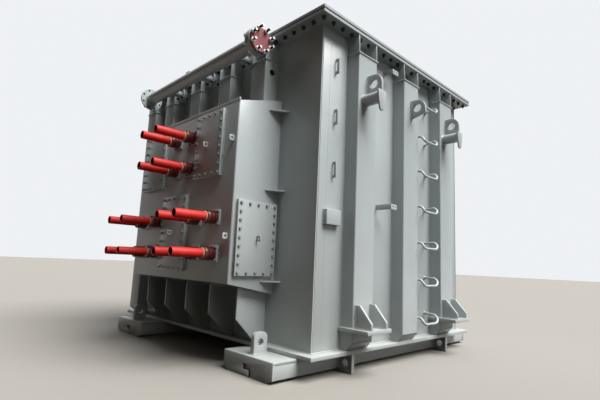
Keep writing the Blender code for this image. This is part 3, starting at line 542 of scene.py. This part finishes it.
def makeRightWall():
    low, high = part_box("right_wall")
    face, edge, seam = tankRight, tankFront, tankRight + 0.001
    bm = bmesh.new()
    addBlock(bm, low, (face, high.y, high.z), 0.001)
    thick, stand, strap, height, place = take(wall, "clip clipStand clipBar clipHeight clipPlace")
    root, out, start = face - 0.001, face + stand, edge + place - thick / 2
    for number in range(wall["clips"]):
        middle = level(wall["clipTop"] - wall["clipPitch"] * number)
        foot, top = middle - height / 2, middle + height / 2
        inner = tongue(root, out - strap, foot + strap, top - strap, 0.006)
        seams = [((seam, z), (seam, z + strap), 0.004) for z in (foot, top - strap)]
        addPlate(bm, 1, start, tongue(root, out, foot, top, 0.012) + inner[::-1], thick, seams=seams)
    middle, width, base, height, thick = wall["pad"]
    start, stop = edge + middle - width / 2, edge + middle + width / 2
    foot, top = level(base), level(base) + height
    addBlock(bm, (face, start, foot), (face + thick, stop, top), 0.004, 3)
    addSeamRing(bm, 0, face + 0.002, (start, foot), (stop, top))
    plate, height, head, pitch = take(wall, "arm armHeight armHead armPitch")
    for place, reach, base in wall["arms"]:
        y, z, tip = edge + place, level(base), face + reach
        top = z + height
        addBlock(bm, (face, y, z), (tip - 0.002, y + plate, top), 0.001)
        addSeams(bm, 1, (y, y + plate), (seam, z), (seam, top), 0.003)
        middle = (y + head / 2, z + height / 2)
        holes = [((middle[0] + side * pitch / 2, middle[1]), wall["armHole"], 14) for side in (-1, 1)]
        addPlate(bm, 0, tip - plate, tongue(y, y + head, z, top, 0.01), plate, holes, 0.001)
    addSeams(bm, 1, [edge + wall["seam"]], (face - 0.0015, floorTop), (face - 0.0015, rimBase), 0.003)
    addSeams(bm, 1, (edge + 0.012, tankBack - 0.012), (seam, floorTop), (seam, rimBase - 0.001), 0.003)
    for x, z, size in ((face + 0.003, floorTop + 0.003, 0.006), (face + 0.002, rimBase - 0.004, 0.005)):
        addWeld(bm, (x, edge, z), (x, tankBack, z), size)
    replaceNode("right_wall", bm)
    bm = bmesh.new()
    addBlock(bm, *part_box("tank_bottom_plate"), 0.004, 3)
    seam, left = floorTop + 0.002, tankLeft - 0.002
    addSeams(bm, 1, (edge - 0.002, tankBack + 0.002), (tankLeft, seam), (tankRight, seam), 0.006)
    addWeld(bm, (left, edge, seam), (left, tankBack, seam), 0.006)
    replaceNode("tank_bottom_plate", bm)


makeRightWall()
print("right wall made")


# Stiffeners: a folded channel closed by the wall, a cap plate, and two webs on up to the rim
stiffener = dict(plate=0.01, corner=0.011, capLap=0.008, setback=0.005, weld=0.0035, vent=0.025,
                 ventReach=0.07, ventDrop=0.105)
endSize = dict(reach=0.121, width=0.24, capDrop=0.15, toe=0.065, face=0.095)
sideSize = dict(reach=0.143, width=0.19, capDrop=0.168, toe=0.065, face=0.095)
boxRoof = dict(wall=1.96, front=1.84, reach=0.42)


def channelPlan(reach, half, corner, open):
    # a folded channel in plan; an open one lacks the web on its far side
    plate = stiffener["plate"]
    bends = tongue(0.001, reach, -half, half, corner)
    if open:
        bends.pop()
    return [*bends, (bends[-1][0], half - plate), (reach - plate, half - plate),
            (reach - plate, plate - half), (0.001, plate - half)]


def addStiffener(bm, size, onBox=False, vent=False):
    reach, width, toe = take(size, "reach width toe")
    plate, corner, lap = take(stiffener, "plate corner capLap")
    half, cap, lower, base = width / 2, rimBase - size["capDrop"], level(size["face"]), floorTop + 0.0005
    under, foot, slope = cap - plate, Vector((toe, 0, floorTop)), Vector((lower - floorTop, 0, toe - reach))
    if onBox:
        fall = (boxRoof["wall"] - boxRoof["front"]) / boxRoof["reach"]
        foot, slope = Vector((0, 0, level(boxRoof["wall"]) + 0.001)), Vector((-fall, 0, -1))
        base = level(boxRoof["front"])
    plan = [(x, y, base) for x, y in channelPlan(reach, half, corner, vent)]
    addCutSheet(bm, plan, (0, 0, under - base), [(foot, slope)])
    if vent:
        far = reach - corner
        web = [(0.001, foot.z - fall * 0.001), (far, foot.z - fall * far), (far, under), (0.001, under)]
        hole = ((stiffener["ventReach"], cap - stiffener["ventDrop"]), stiffener["vent"], 24)
        addPlate(bm, 1, half - plate, web, plate, [hole], 0)
    if not onBox:
        shape = [(toe - plate, floorTop), (toe, floorTop), (reach, lower), (reach - plate, lower)]
        addPlate(bm, 1, 0.001 - half, shape, 2 * half - 0.002, edge=0.001)
        addWeld(bm, (toe, -half, floorTop + 0.002), (toe, half, floorTop + 0.002))
    addBlock(bm, (0.001, -half - lap, under), (reach + lap, half + lap, cap), 0.0025)
    top, lean = rimBase - 0.0005, reach - stiffener["setback"]
    for y in (-half, half - plate):
        addPlate(bm, 1, y, [(0.001, cap), (reach, cap), (lean, top), (0.001, top)], plate)
    sides, fine = (-half, half), stiffener["weld"]
    addSeams(bm, 1, sides, (0.003, max(base, foot.z)), (0.003, top))
    addSeams(bm, 1, sides, (0.003, top - 0.002), (lean, top - 0.002), fine)
    addSeams(bm, 1, sides, (0.003, cap + 0.001), (reach, cap + 0.001), fine)
    if onBox:
        addSeams(bm, 1, sides, (0.003, foot.z), (reach, foot.z - fall * reach), fine)


eye = dict(plate=0.025, hole=0.0375, drop=0.404, stiffener=dict(hole=0.065, tip=0.145, rise=0.076, fall=0.056,
           root=0.094, shoulder=0.09), trunnion=dict(hole=0.062, tip=0.142, rise=0.079, fall=0.129,
           root=0.129, shoulder=0.08))


def addEyePlate(bm, start, kind):
    # heights are taken from the middle of the hole, and the root is the lower edge at the stiffener
    away, out, rise, fall, root, shoulder = take(eye[kind], "hole tip rise fall root shoulder")
    thick, middle, reach = eye["plate"], rimBase - eye["drop"], endSize["reach"]
    tip, top, seam = reach + out, middle + rise, start + 0.003
    shape = [(start, middle - root), (tip, middle - fall),
             *arcPoints((tip - shoulder, top - shoulder), shoulder, 0, 8), (start, top)]
    addPlate(bm, 1, -thick / 2, shape, thick, [((reach + away, middle), eye["hole"], 32)], 0.003,
             seams=[((seam, middle - root + 0.004), (seam, top - 0.004), 0.006)])


step = dict(count=7, first=0.218, pitch=0.3262, rod=0.011, drop=0.052, stand=0.062, root=0.028, tread=0.215,
            rise=0.012, span=0.325)


def addSteps(bm):
    half, reach = endSize["width"] / 2, endSize["reach"]
    rod, drop, tread, span = take(step, "rod drop tread span")
    out, near, far = reach + step["stand"], half + rod - 0.0015, half + tread
    for number in range(step["count"]):
        z = level(step["first"] + step["pitch"] * number)
        rise = z + step["rise"]
        route = [(reach - 0.055, near, z), (reach + step["root"], near, z), (out, near + 0.004, z - drop),
                 (out, far, z - drop), (out - 0.004, far + 0.034, z - drop * 0.35),
                 (out - 0.04, far + 0.044, rise), (0.001, half + span, rise)]
        addRod(bm, roundedRoute(route, 0.026), rod, 4)
        ring = [(0, 0), (0, rod * 1.6), (rod * 0.7, rod), (rod * 0.7, 0)]
        addTurned(bm, ring, (0.001, half + span, rise), (1, 0, 0), 18)
        sides = (z - rod * 0.7, z + rod * 0.7)
        addSeams(bm, 2, sides, (reach - 0.054, half), (reach - 0.01, half), 0.005)


jack = dict(reach=0.275, top=0.195, plate=0.03, tab=0.025, nose=0.242, setback=0.004, shoulder=0.165,
            peak=0.36, gusset=0.02, inset=0.02, weld=0.005)


def addJack(bm):
    half, reach, top, peak = endSize["width"] / 2, endSize["reach"], level(jack["top"]), level(jack["peak"])
    far, plate, gusset, inset, bead = take(jack, "reach plate gusset inset weld")
    outer, nose, seam, toe = half + jack["tab"], far - jack["setback"], reach + 0.002, top + 0.003
    plan = [(0.001, -outer), (far, -outer), (far, outer), (0.001, outer),
            (0.001, half), (reach, half), (reach, -half), (0.001, -half)]
    seams = [((seam, -half), (seam, half), bead), *[((0.002, y), (reach, y), bead) for y in (-half, half)]]
    addPlate(bm, 2, top - plate, plan, plate, edge=0.003, seams=seams)
    shape = [(reach, top), (nose, top), (nose, level(jack["nose"])), (jack["shoulder"], peak),
             (reach, peak)]
    seams = [((reach + 0.003, top), (reach + 0.003, peak), bead), ((reach, toe), (nose - 0.006, toe), bead)]
    for y in (inset - half, half - inset - gusset):
        addPlate(bm, 1, y, shape, gusset, edge=0.002, seams=seams)


def makeStiffeners():
    for side, count, size in (("right", 3, endSize), ("left", 3, endSize), ("front", 5, sideSize),
                              ("back", 3, sideSize)):
        for number in range(1, count + 1):
            node = f"{side}_stiffener_{number}"
            bm, place = bmesh.new(), nodePlace(side, node)
            addStiffener(bm, size, side == "front" and number <= 3, node == "front_stiffener_1")
            if size is endSize and number == 2:
                addEyePlate(bm, size["reach"], "stiffener")
            elif size is endSize:
                addJack(bm)
            if node == "right_stiffener_2":
                addSteps(bm)
                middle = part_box(node)[0].y + size["width"] / 2 + stiffener["capLap"]
                place = Matrix.Translation((0, middle - middleY, 0)) @ facing(side)
            replaceNode(node, bm, place=place)


makeStiffeners()
print("stiffeners made")


# Lifting trunnions: an eye over a round bar whose end carries a tongue-shaped guard
bar = dict(radius=0.0475, length=0.155, drop=0.542, offset=0.039, guard=0.015, half=0.05, foot=0.031,
           rise=0.049, fall=0.116)


def makeTrunnions():
    reach = endSize["reach"]
    radius, long, guard, half, foot = take(bar, "radius length guard half foot")
    start, end, z = reach + seat, reach + long, rimBase - bar["drop"]
    lower, upper = z - bar["fall"] + foot, z + bar["rise"]
    for side, sign in (("right", 1), ("left", -1)):
        for number in (1, 3):
            bm = bmesh.new()
            addEyePlate(bm, start, "trunnion")
            y = -sign * bar["offset"]
            profile = [(0, 0), (0, radius + 0.007), (0.009, radius), (long, radius), (long, 0)]
            addTurned(bm, profile, (start, y, z), (1, 0, 0), 40)
            shape = [*arcPoints((y, lower), foot, 2, 6), *arcPoints((y, lower), foot, 3, 6)[1:],
                     (y + half, z), (y + half, upper), (y - half, upper), (y - half, z)]
            addPlate(bm, 0, end, shape, guard, edge=0.003)
            place = nodePlace(side, f"{side}_stiffener_{number}")
            replaceNode(f"lifting_trunnion_{side}_{number}", bm, place=place)


makeTrunnions()
print("trunnions made")


# Terminal box: folded shell, roof and floor, five keels under it, shelves beside it, earthing lugs
shell = dict(plate=0.012, corner=0.012, wallBase=0.4, frontBase=0.477, lip=0.026, shelves=(1.84, 1.19, 0.49),
             shelfPlate=0.01, shelfWall=0.09, shelfReach=0.13, shelfNose=0.01, keels=5, keelInset=0.082,
             keelPitch=0.37, keelReach=0.27, keelBase=0.215, keelToe=0.075, keelPlate=0.014, lugInset=0.04,
             lugs=(1.55, 0.817))


def makeTerminalBox():
    left, right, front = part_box("terminal_box_shell")[0].x, boxRight, boxFront
    plate, corner, lip, thick = take(shell, "plate corner lip keelPlate")
    rear, base, top = tankFront - seat, level(shell["wallBase"]), level(boxRoof["wall"])
    frontBase, frontTop = level(shell["frontBase"]), level(boxRoof["front"])
    depth, inner = rear - front, front + plate
    start, stop, share = left + plate, right - plate, 1 - plate / depth
    bm = bmesh.new()
    plan = [(left, rear), *arcPoints((left + corner, front + corner), corner, 2),
            *arcPoints((right - corner, front + corner), corner, 3), (right, rear),
            (stop, rear), (stop, inner), (start, inner), (start, rear)]
    cuts = [(Vector((0, rear, top)), Vector((0, frontTop - top, depth))),
            (Vector((0, rear, base)), Vector((0, base - frontBase, -depth)))]
    addCutSheet(bm, [(x, y, base) for x, y in plan], (0, 0, top - base), cuts, 0.001)
    addBlock(bm, (left, front, frontTop - 0.008), (right, inner, frontTop + lip), 0.0015)
    out, nose, side = right + shell["shelfWall"], right + shell["shelfNose"], rear - shell["shelfReach"]
    outline = [(right - 0.002, rear), (out, rear), (out, rear - 0.02), (nose, side), (right - 0.002, side)]
    for height in shell["shelves"]:
        z = level(height)
        addPlate(bm, 2, z, outline, shell["shelfPlate"])
        addWeld(bm, (right + 0.002, rear, z), (right + 0.002, side + 0.005, z), 0.004)
    for height in shell["lugs"]:
        addSmallEye(bm, (right - shell["lugInset"], front + 0.001, level(height)), (0, -1, 0), (1, 0, 0))
    addSeams(bm, 0, (left - 0.001, right + 0.001), (rear - 0.002, base), (rear - 0.002, top))
    replaceNode("terminal_box_shell", bm)
    low, rise = top - (top - frontTop) * share, (frontBase - base) * share
    bm = bmesh.new()
    roof = [(rear, top), (inner, low), (inner, low - plate), (rear, top - plate)]
    addPlate(bm, 0, start, roof, stop - start, edge=0.001, seams=[((rear, top), (inner, low), 0.004)])
    addWeld(bm, (start, inner, low), (stop, inner, low), 0.004)
    replaceNode("terminal_box_roof", bm)
    bm = bmesh.new()
    sole = [(rear, base), (inner, base + rise), (inner, base + rise + plate), (rear, base + plate)]
    addPlate(bm, 0, start, sole, stop - start, edge=0.001)
    reach, foot, seam = shell["keelReach"], floorTop + 0.0005, rear - 0.002
    keel = [(rear, base), (rear - reach, base + rise * reach / (depth - plate)),
            (rear - reach, level(shell["keelBase"])), (rear - shell["keelToe"], foot), (rear, foot)]
    for number in range(shell["keels"]):
        x = right - shell["keelInset"] - shell["keelPitch"] * number - thick / 2
        addPlate(bm, 0, x, keel, thick, seams=[((seam, floorTop), (seam, base), 0.004)])
    replaceNode("terminal_box_floor", bm)


makeTerminalBox()
print("terminal box made")


# Bolted covers: a pad frame, a dark seal and a plate, with bolts round the edge and an eye
cover = dict(thick=0.03, pad=0.007, seal=0.002, margin=0.024, columns=5, bolt=0.02, head=0.0115)


def makeCover(node, out, rows):
    low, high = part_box(node)
    out = Vector(out)
    along = Vector((0, 1, 0)) if out.x else Vector((1, 0, 0))
    root = boxRight + seat if out.x else seat - boxFront
    limits = [(low.y, high.y) if out.x else (low.x, high.x), (low.z, high.z)]
    thick, pad, seal, margin, columns = take(cover, "thick pad seal margin columns")

    def spot(run, a, b):
        return out * (root + run) + along * a + up * b

    def addLayer(bm, start, stop, inset, edge):
        (a0, a1), (b0, b1) = limits
        addBlock(bm, spot(start, a0 + inset, b0 + inset), spot(stop, a1 - inset, b1 - inset), edge)

    plates, rubber, bolts = bmesh.new(), bmesh.new(), bmesh.new()
    addLayer(plates, 0, pad, 0.001, 0.0015)
    addLayer(plates, pad + seal, thick, 0.0, 0.0025)
    addLayer(rubber, pad, pad + seal, 0.003, 0)
    middle = spot(thick - 0.001, sum(limits[0]) / 2, sum(limits[1]) / 2)
    addSmallEye(plates, middle, out, along)
    replaceNode(node, plates)
    finishPiece(f"{node}_seal", rubber, gasketRubber)
    (a0, a1), (b0, b1) = [(start + margin, stop - margin) for start, stop in limits]
    spots = [(a0 + (a1 - a0) * number / (columns - 1), b) for number in range(columns) for b in (b0, b1)]
    spots += [(a, b0 + (b1 - b0) * number / (rows - 1)) for number in range(1, rows - 1) for a in (a0, a1)]
    for a, b in spots:
        addBolt(bolts, spot(thick, a, b), out, cover["bolt"], cover["head"])
    finishPiece(f"{node}_bolts", bolts, paintedSteel)


makeCover("side_cover", (1, 0, 0), 9)
for number, rows in enumerate((8, 8, 9), 1):
    makeCover(f"front_cover_{number}", (0, -1, 0), rows)
print("covers made")


# Terminals: painted square flange with four bolts, ribbed sleeve, tan collar and open red tube
terminal = dict(plate=0.12, plateThick=0.016, sleeve=0.051, groove=0.045, grooves=(0.044, 0.071),
                sleeveEnd=0.101, collar=0.041, collarEnd=0.108, tube=0.034, bore=0.027, boreDeep=0.24,
                lip=0.003, boltSpot=0.047, bolt=0.017, head=0.01)


def makeTerminal(node):
    low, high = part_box(node)
    x, _, z = nodeMiddle(node)
    start, out = high.y, Vector((0, -1, 0))
    half, thick, spot = terminal["plate"] / 2, terminal["plateThick"], terminal["boltSpot"]

    def turnPiece(part, profile, material, steps=40):
        bm = bmesh.new()
        addTurned(bm, profile, (x, start, z), out, steps)
        finishPiece(f"{node}_{part}", bm, material)

    bm = bmesh.new()
    addBlock(bm, (x - half, start - thick, z - half), (x + half, start, z + half), 0.003)
    finishPiece(f"{node}_flange", bm, tankPaint, [node])
    bm = bmesh.new()
    for a in (x - spot, x + spot):
        for b in (z - spot, z + spot):
            addBolt(bm, (a, start - thick, b), out, terminal["bolt"], terminal["head"])
    finishPiece(f"{node}_bolts", bm, paintedSteel)
    sleeve, groove, end = take(terminal, "sleeve groove sleeveEnd")
    profile = [(0.004, 0), (0.004, sleeve), (0.034, sleeve)]
    for middle in terminal["grooves"]:
        profile += [(middle - 0.006, sleeve), (middle - 0.003, groove),
                    (middle + 0.003, groove), (middle + 0.006, sleeve)]
    profile += [(end - 0.006, sleeve), (end - 0.002, sleeve - 0.002), (end, sleeve - 0.005), (end, 0)]
    turnPiece("sleeve", profile, sleeveRed)
    collar, far, tube, bore, lip = take(terminal, "collar collarEnd tube bore lip")
    profile = [(end - 0.001, 0), (end - 0.001, collar), (far - 0.004, collar),
               (far, collar - 0.004), (far, 0)]
    turnPiece("collar", profile, collarTan, steps=36)
    reach, skin = high.y - low.y, bore - 0.0003
    floor, mouth = reach - terminal["boreDeep"], reach - 0.004
    profile = [(far - 0.001, 0), (far - 0.001, tube), (reach - lip, tube),
               (reach - lip * 0.3, tube - lip * 0.3), (reach, tube - lip), (reach, bore + 0.001),
               (reach - 0.002, bore), (floor, bore), (floor, 0)]
    turnPiece("tube", profile, tubeRed)
    # a thin dark sheet just inside the bore is painted shade, standing for the darkness deep in the open tube
    profile = [(floor + 0.001, 0), (floor + 0.001, skin), (mouth, skin), (mouth, skin - 0.001),
               (floor + 0.002, skin - 0.001), (floor + 0.002, 0)]
    turnPiece("painted_bore_shade", profile, boreShadow)


for number in range(1, 13):
    makeTerminal(f"terminal_{number:02d}")
print("terminals made")


# Cooling header: pipe, drilled far flange, neck, three branches with flange pairs, blank with studs
header = dict(pipe=0.059, bore=0.053, flange=0.1175, flangeThick=0.018, holes=8, holeCircle=0.099, hole=0.011,
              neck=0.111, neckLong=0.055, blank=0.103, studs=8, studCircle=0.095, nut=0.034, nutHigh=0.019,
              studEnd=0.03, studLonger=1.45, stud=0.0105, loop=(-0.15, 0.075, 0.028, 0.006))
branch = dict(first=0.635, pitch=0.585, count=3, pipe=0.0375, flange=0.07, plate=0.013, pair=0.046,
              wafer=0.05, reach=0.12, bolts=4, boltCircle=0.058, bolt=0.024, nutHigh=0.014)


def addBranch(bm, x, y, z):
    pipe, flange, plate, wafer, pair, reach = take(branch, "pipe flange plate wafer pair reach")
    near, long = header["pipe"], tankFront - y - 0.001
    start, end = tankFront - y - reach - pair / 2, tankFront - y - reach + pair / 2
    profile = [(near - 0.012, 0), (near - 0.012, pipe + 0.009), (near + 0.002, pipe + 0.006),
               (near + 0.01, pipe), (start - 0.006, pipe), (start, pipe + 0.006),
               *discProfile(start, start + plate, flange), (start + plate, wafer), (end - plate, wafer),
               *discProfile(end - plate, end, flange), (end, pipe + 0.006), (end + 0.006, pipe),
               (long - 0.009, pipe), (long, pipe + 0.009), (long, 0)]
    addTurned(bm, profile, (x, y, z), (0, 1, 0), 40)
    return start, end


def makeHeader():
    low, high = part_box("header_end_cover")
    _, y, z = nodeMiddle("header_end_cover")
    near, far = low.x - seat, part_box("header_pipe")[0].x
    pipe, bore, flange, thick, neck, long = take(header, "pipe bore flange flangeThick neck neckLong")
    run = near - far
    bm = bmesh.new()
    profile = [(thick - 0.002, pipe), (thick, pipe + 0.007), (thick + 0.007, pipe),
               (run - long - 0.008, pipe), (run - long, pipe + 0.008),
               *discProfile(run - long, run, neck, 0.002), (run, bore), (thick - 0.002, bore)]
    addTurned(bm, profile, (far, y, z), (1, 0, 0), 64)
    holeSpots = ringSpots((y, z), header["holeCircle"], header["holes"])
    holes = [((y, z), bore, 48), *[(spot, header["hole"], 16) for spot in holeSpots]]
    addPlate(bm, 0, far, ringSpots((y, z), flange, 56, 0), thick, holes, 0.001, 1)
    place, width, rise, rod = header["loop"]
    ends, base, crown = (place - width / 2, place + width / 2), z + pipe - 0.004, z + pipe + rise
    route = [(ends[0], y, base), (ends[0], y, crown), (ends[1], y, crown), (ends[1], y, base)]
    addRod(bm, roundedRoute(route, 0.016), rod, 4)
    profile = [(0, 0), (0, rod * 1.7), (0.005, rod), (0.005, 0)]
    for x in ends:
        addTurned(bm, profile, (x, y, z + pipe - 0.001), (0, 0, 1), 16)
    fittings = bmesh.new()
    for number in range(branch["count"]):
        x = branch["first"] - branch["pitch"] * number
        start, end = addBranch(bm, x, y, z)
        for a, b in ringSpots((x, z), branch["boltCircle"], branch["bolts"]):
            for run, sign, stud in ((start, -1, 0.01), (end, 1, 0.008)):
                addNut(fittings, (a, y + run, b), (0, sign, 0), branch["bolt"], branch["nutHigh"], stud)
    replaceNode("header_pipe", bm)
    finishPiece("header_branch_bolts", fittings, darkSteel)
    bm = bmesh.new()
    blank, deep = header["blank"], high.x - low.x
    profile = [(0, 0), (0, blank - 0.001), (0.001, blank), (deep - 0.003, blank),
               (deep, blank - 0.003), (deep, 0)]
    addTurned(bm, profile, (low.x, y, z), (1, 0, 0), 64)
    replaceNode("header_end_cover", bm, oxidePrimer)
    nuts, studs, out = bmesh.new(), bmesh.new(), Vector((1, 0, 0))
    circle, nut, deep, rod = take(header, "studCircle nut nutHigh stud")
    rear = near - long - deep - 0.012
    for (a, b), spot in zip(ringSpots((y, z), circle, header["studs"]), holeSpots):
        # the studs near the top stand out further
        tip = high.x + deep + header["studEnd"] * (header["studLonger"] if b - z > 0.6 * circle else 1.0)
        addNut(nuts, (high.x, a, b), out, nut, deep, 0)
        addNut(nuts, (near - long, a, b), -out, nut, deep, 0)
        # each zinc plated stud's side is given dark steel as painted shade, and a thin zinc disc on its end
        # is a painted lit end face
        addPrism(studs, (rear, a, b), out, rod, tip - rear - 0.001, 14)
        addPrism(nuts, (tip - 0.001, a, b), out, rod, 0.001, 14, rod * 0.85)
        addPrism(studs, (far + 0.001, *spot), out, header["hole"] - 0.0005, thick - 0.003, 14)
    finishPiece("header_end_nuts_and_lit_stud_ends", nuts, zincSteel)
    finishPiece("header_end_studs_painted_shade", studs, darkSteel)


makeHeader()
print("header made")


# Skids: plated runner with a proud top plate, slotted toes, lifting lugs and pulling plates
skid = dict(half=0.275, chamfer=0.055, soleEdge=0.025, slotBase=0.042, slotTop=0.082, slotHalf=0.045,
            cleft=0.026, plate=0.02, inset=0.003, lugThick=0.04, lugLong=0.12, lugHigh=0.15, lugBack=0.04,
            lugCrown=0.038, lugHole=0.025, lugHoleRise=0.08, pullReach=0.13, pullThick=0.03, pullPlace=0.717,
            pullHole=0.03, pullLift=0.001)


def makeSkid(node, centre):
    low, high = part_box(node)
    half, plate, inset, chamfer, sole = take(skid, "half plate inset chamfer soleEdge")
    right, cleft, slotBase, slotTop = take(skid, "slotHalf cleft slotBase slotTop")
    top, wide, edge = floorBase, half - chamfer, half - inset
    bm = bmesh.new()
    shape = [(-wide, 0), (wide, 0), (edge, sole), (edge, top - plate), (-edge, top - plate), (-edge, sole)]
    section = [(centre + x, z) for x, z in shape]
    addPlate(bm, 1, low.y + plate, section, high.y - low.y - 2 * plate, edge=0.004)
    corners = (centre - half, low.y + 0.002, top - plate), (centre + half, high.y - 0.002, top)
    addBlock(bm, *corners, 0.004, 3)
    edge = half - 0.001
    face = [(-wide, 0), (right - cleft, 0), (right - cleft, slotBase), (-right, slotBase),
            (-right, slotTop), (right, slotTop), (right, 0), (wide, 0), (edge, sole),
            (edge, top - 0.002), (-edge, top - 0.002), (-edge, sole)]
    for y in (low.y, high.y - plate):
        addPlate(bm, 1, y, [(centre + x, z) for x, z in face], plate, edge=0.003)
    thick, long, rise, crown, back = take(skid, "lugThick lugLong lugHigh lugCrown lugBack")
    start, stop, crest = centre - thick / 2, centre + thick / 2, top + rise
    for end, sign in ((low.y, 1), (high.y, -1)):
        near, far = sorted((end + sign * back, end + sign * (back + long)))
        lug = [(near, top), (far, top), *arcPoints((far - crown, crest - crown), crown, 0, 6),
               *arcPoints((near + crown, crest - crown), crown, 1, 6)]
        hole = (((near + far) / 2, top + skid["lugHoleRise"]), skid["lugHole"], 28)
        addPlate(bm, 0, start, lug, thick, [hole], 0.003)
        addSeamRing(bm, 2, top + 0.002, (start, near), (stop, far), 0.006)
    reach, thick, place, gap = take(skid, "pullReach pullThick pullPlace pullLift")
    outside = 1 if centre > 0 else -1
    root, tip, seam = [centre + outside * (half + run) for run in (-0.005, reach, 0.001)]
    pull = [(root, gap), (tip, gap), (tip, top - gap), (root, top - gap)]
    hole = ((centre + outside * (half + reach / 2), top / 2), skid["pullHole"], 24)
    for y in (middleY - place - thick / 2, middleY + place - thick / 2):
        addPlate(bm, 1, y, pull, thick, [hole], 0.003, seams=[((seam, 0.03), (seam, top - plate), 0.006)])
    replaceNode(node, bm)


makeSkid("skid_near", 1.075)
makeSkid("skid_far", -0.91)
print("skids made")

for name in ("front_wall", "back_wall", "left_wall"):
    nodes[name].data.materials.clear()
    nodes[name].data.materials.append(tankPaint)


# Camera at the photograph's place, then the studio
view = dict(place=(3.4815, -3.0034, 0.7877), yaw=-45.4658, pitch=8.5328, roll=2.46, lens=25.146,
            shift=-0.00917)


def makeCamera():
    yaw, pitch, roll = [radians(view[key]) for key in ("yaw", "pitch", "roll")]
    turn = Matrix.Rotation(-yaw, 4, "Z") @ Matrix.Rotation(pi / 2 + pitch, 4, "X")
    lens = bpy.data.cameras.new("camera")
    lens.lens = view["lens"]
    lens.sensor_width = 36
    lens.shift_x = view["shift"]
    lens.clip_start = 0.05
    camera = addObject("camera", lens)
    camera.matrix_world = Matrix.Translation(view["place"]) @ turn @ Matrix.Rotation(roll, 4, "Z")
    bpy.context.scene.camera = camera


studio = dict(size=60, ahead=(-0.7, 0.69, 0.17), floor=(0.285, 0.27, 0.245), card=(0.08, 0.054, 0.028),
              behind=(0.86, 0.88, 0.9), above=(0.08, 0.071, 0.058), below=(0.075, 0.062, 0.04),
              lamps=(dict(rise=58, round=15, spread=45, power=6.85, tint=(1.0, 0.995, 0.985)), dict(rise=3,
              round=8, spread=40, power=0.55, tint=(1.0, 0.98, 0.95))))


def addPlane(name, height, tone):
    bm = bmesh.new()
    bmesh.ops.create_grid(bm, x_segments=1, y_segments=1, size=studio["size"])
    bmesh.ops.translate(bm, verts=bm.verts, vec=(0, 0, height))
    ground = Finish(name)
    shade = ground.blend(ground.noise(0.6, 3), tone, [part * 0.94 for part in tone])
    plane = addMesh(name, bm, ground.feed(Base_Color=shade, Roughness=0.85))
    return plane


def makeLight():
    # soft light from above the right wall, dim air around, and pale air behind the object
    sky = Finish("studio air", bpy.data.worlds, "Background", "Generated")
    ahead = {0: sky.place, 1: studio["ahead"]}
    pale = sky.link("VectorMath", ahead, "Value", operation="DOT_PRODUCT").above(0.35, 0.65)
    air = sky.blend(sky.rise(sky.place).above(-0.05, 0.08), studio["below"], studio["above"])
    bpy.context.scene.world = sky.feed(Color=sky.blend(pale, air, studio["behind"]))
    for name, values in zip(("key", "fill"), studio["lamps"]):
        lamp = bpy.data.lights.new(name, "SUN")
        lamp.energy, lamp.color = values["power"], values["tint"]
        lamp.angle = radians(values["spread"])
        light = addObject(name, lamp)
        rise, turn = radians(values["rise"]), radians(values["round"])
        light.location = (5 * cos(turn), 5 * sin(turn), 7)
        light.rotation_euler = (pi / 2 - rise, 0, turn + pi / 2)
    bpy.context.scene.view_settings.view_transform = "Standard"


makeCamera()
# the pale floor shows, and a dim card under it takes its place in the light thrown back up
addPlane("pale floor", 0.0, studio["floor"]).visible_diffuse = False
addPlane("dim card", -0.002, studio["card"]).visible_camera = False
makeLight()
print("camera and studio made")
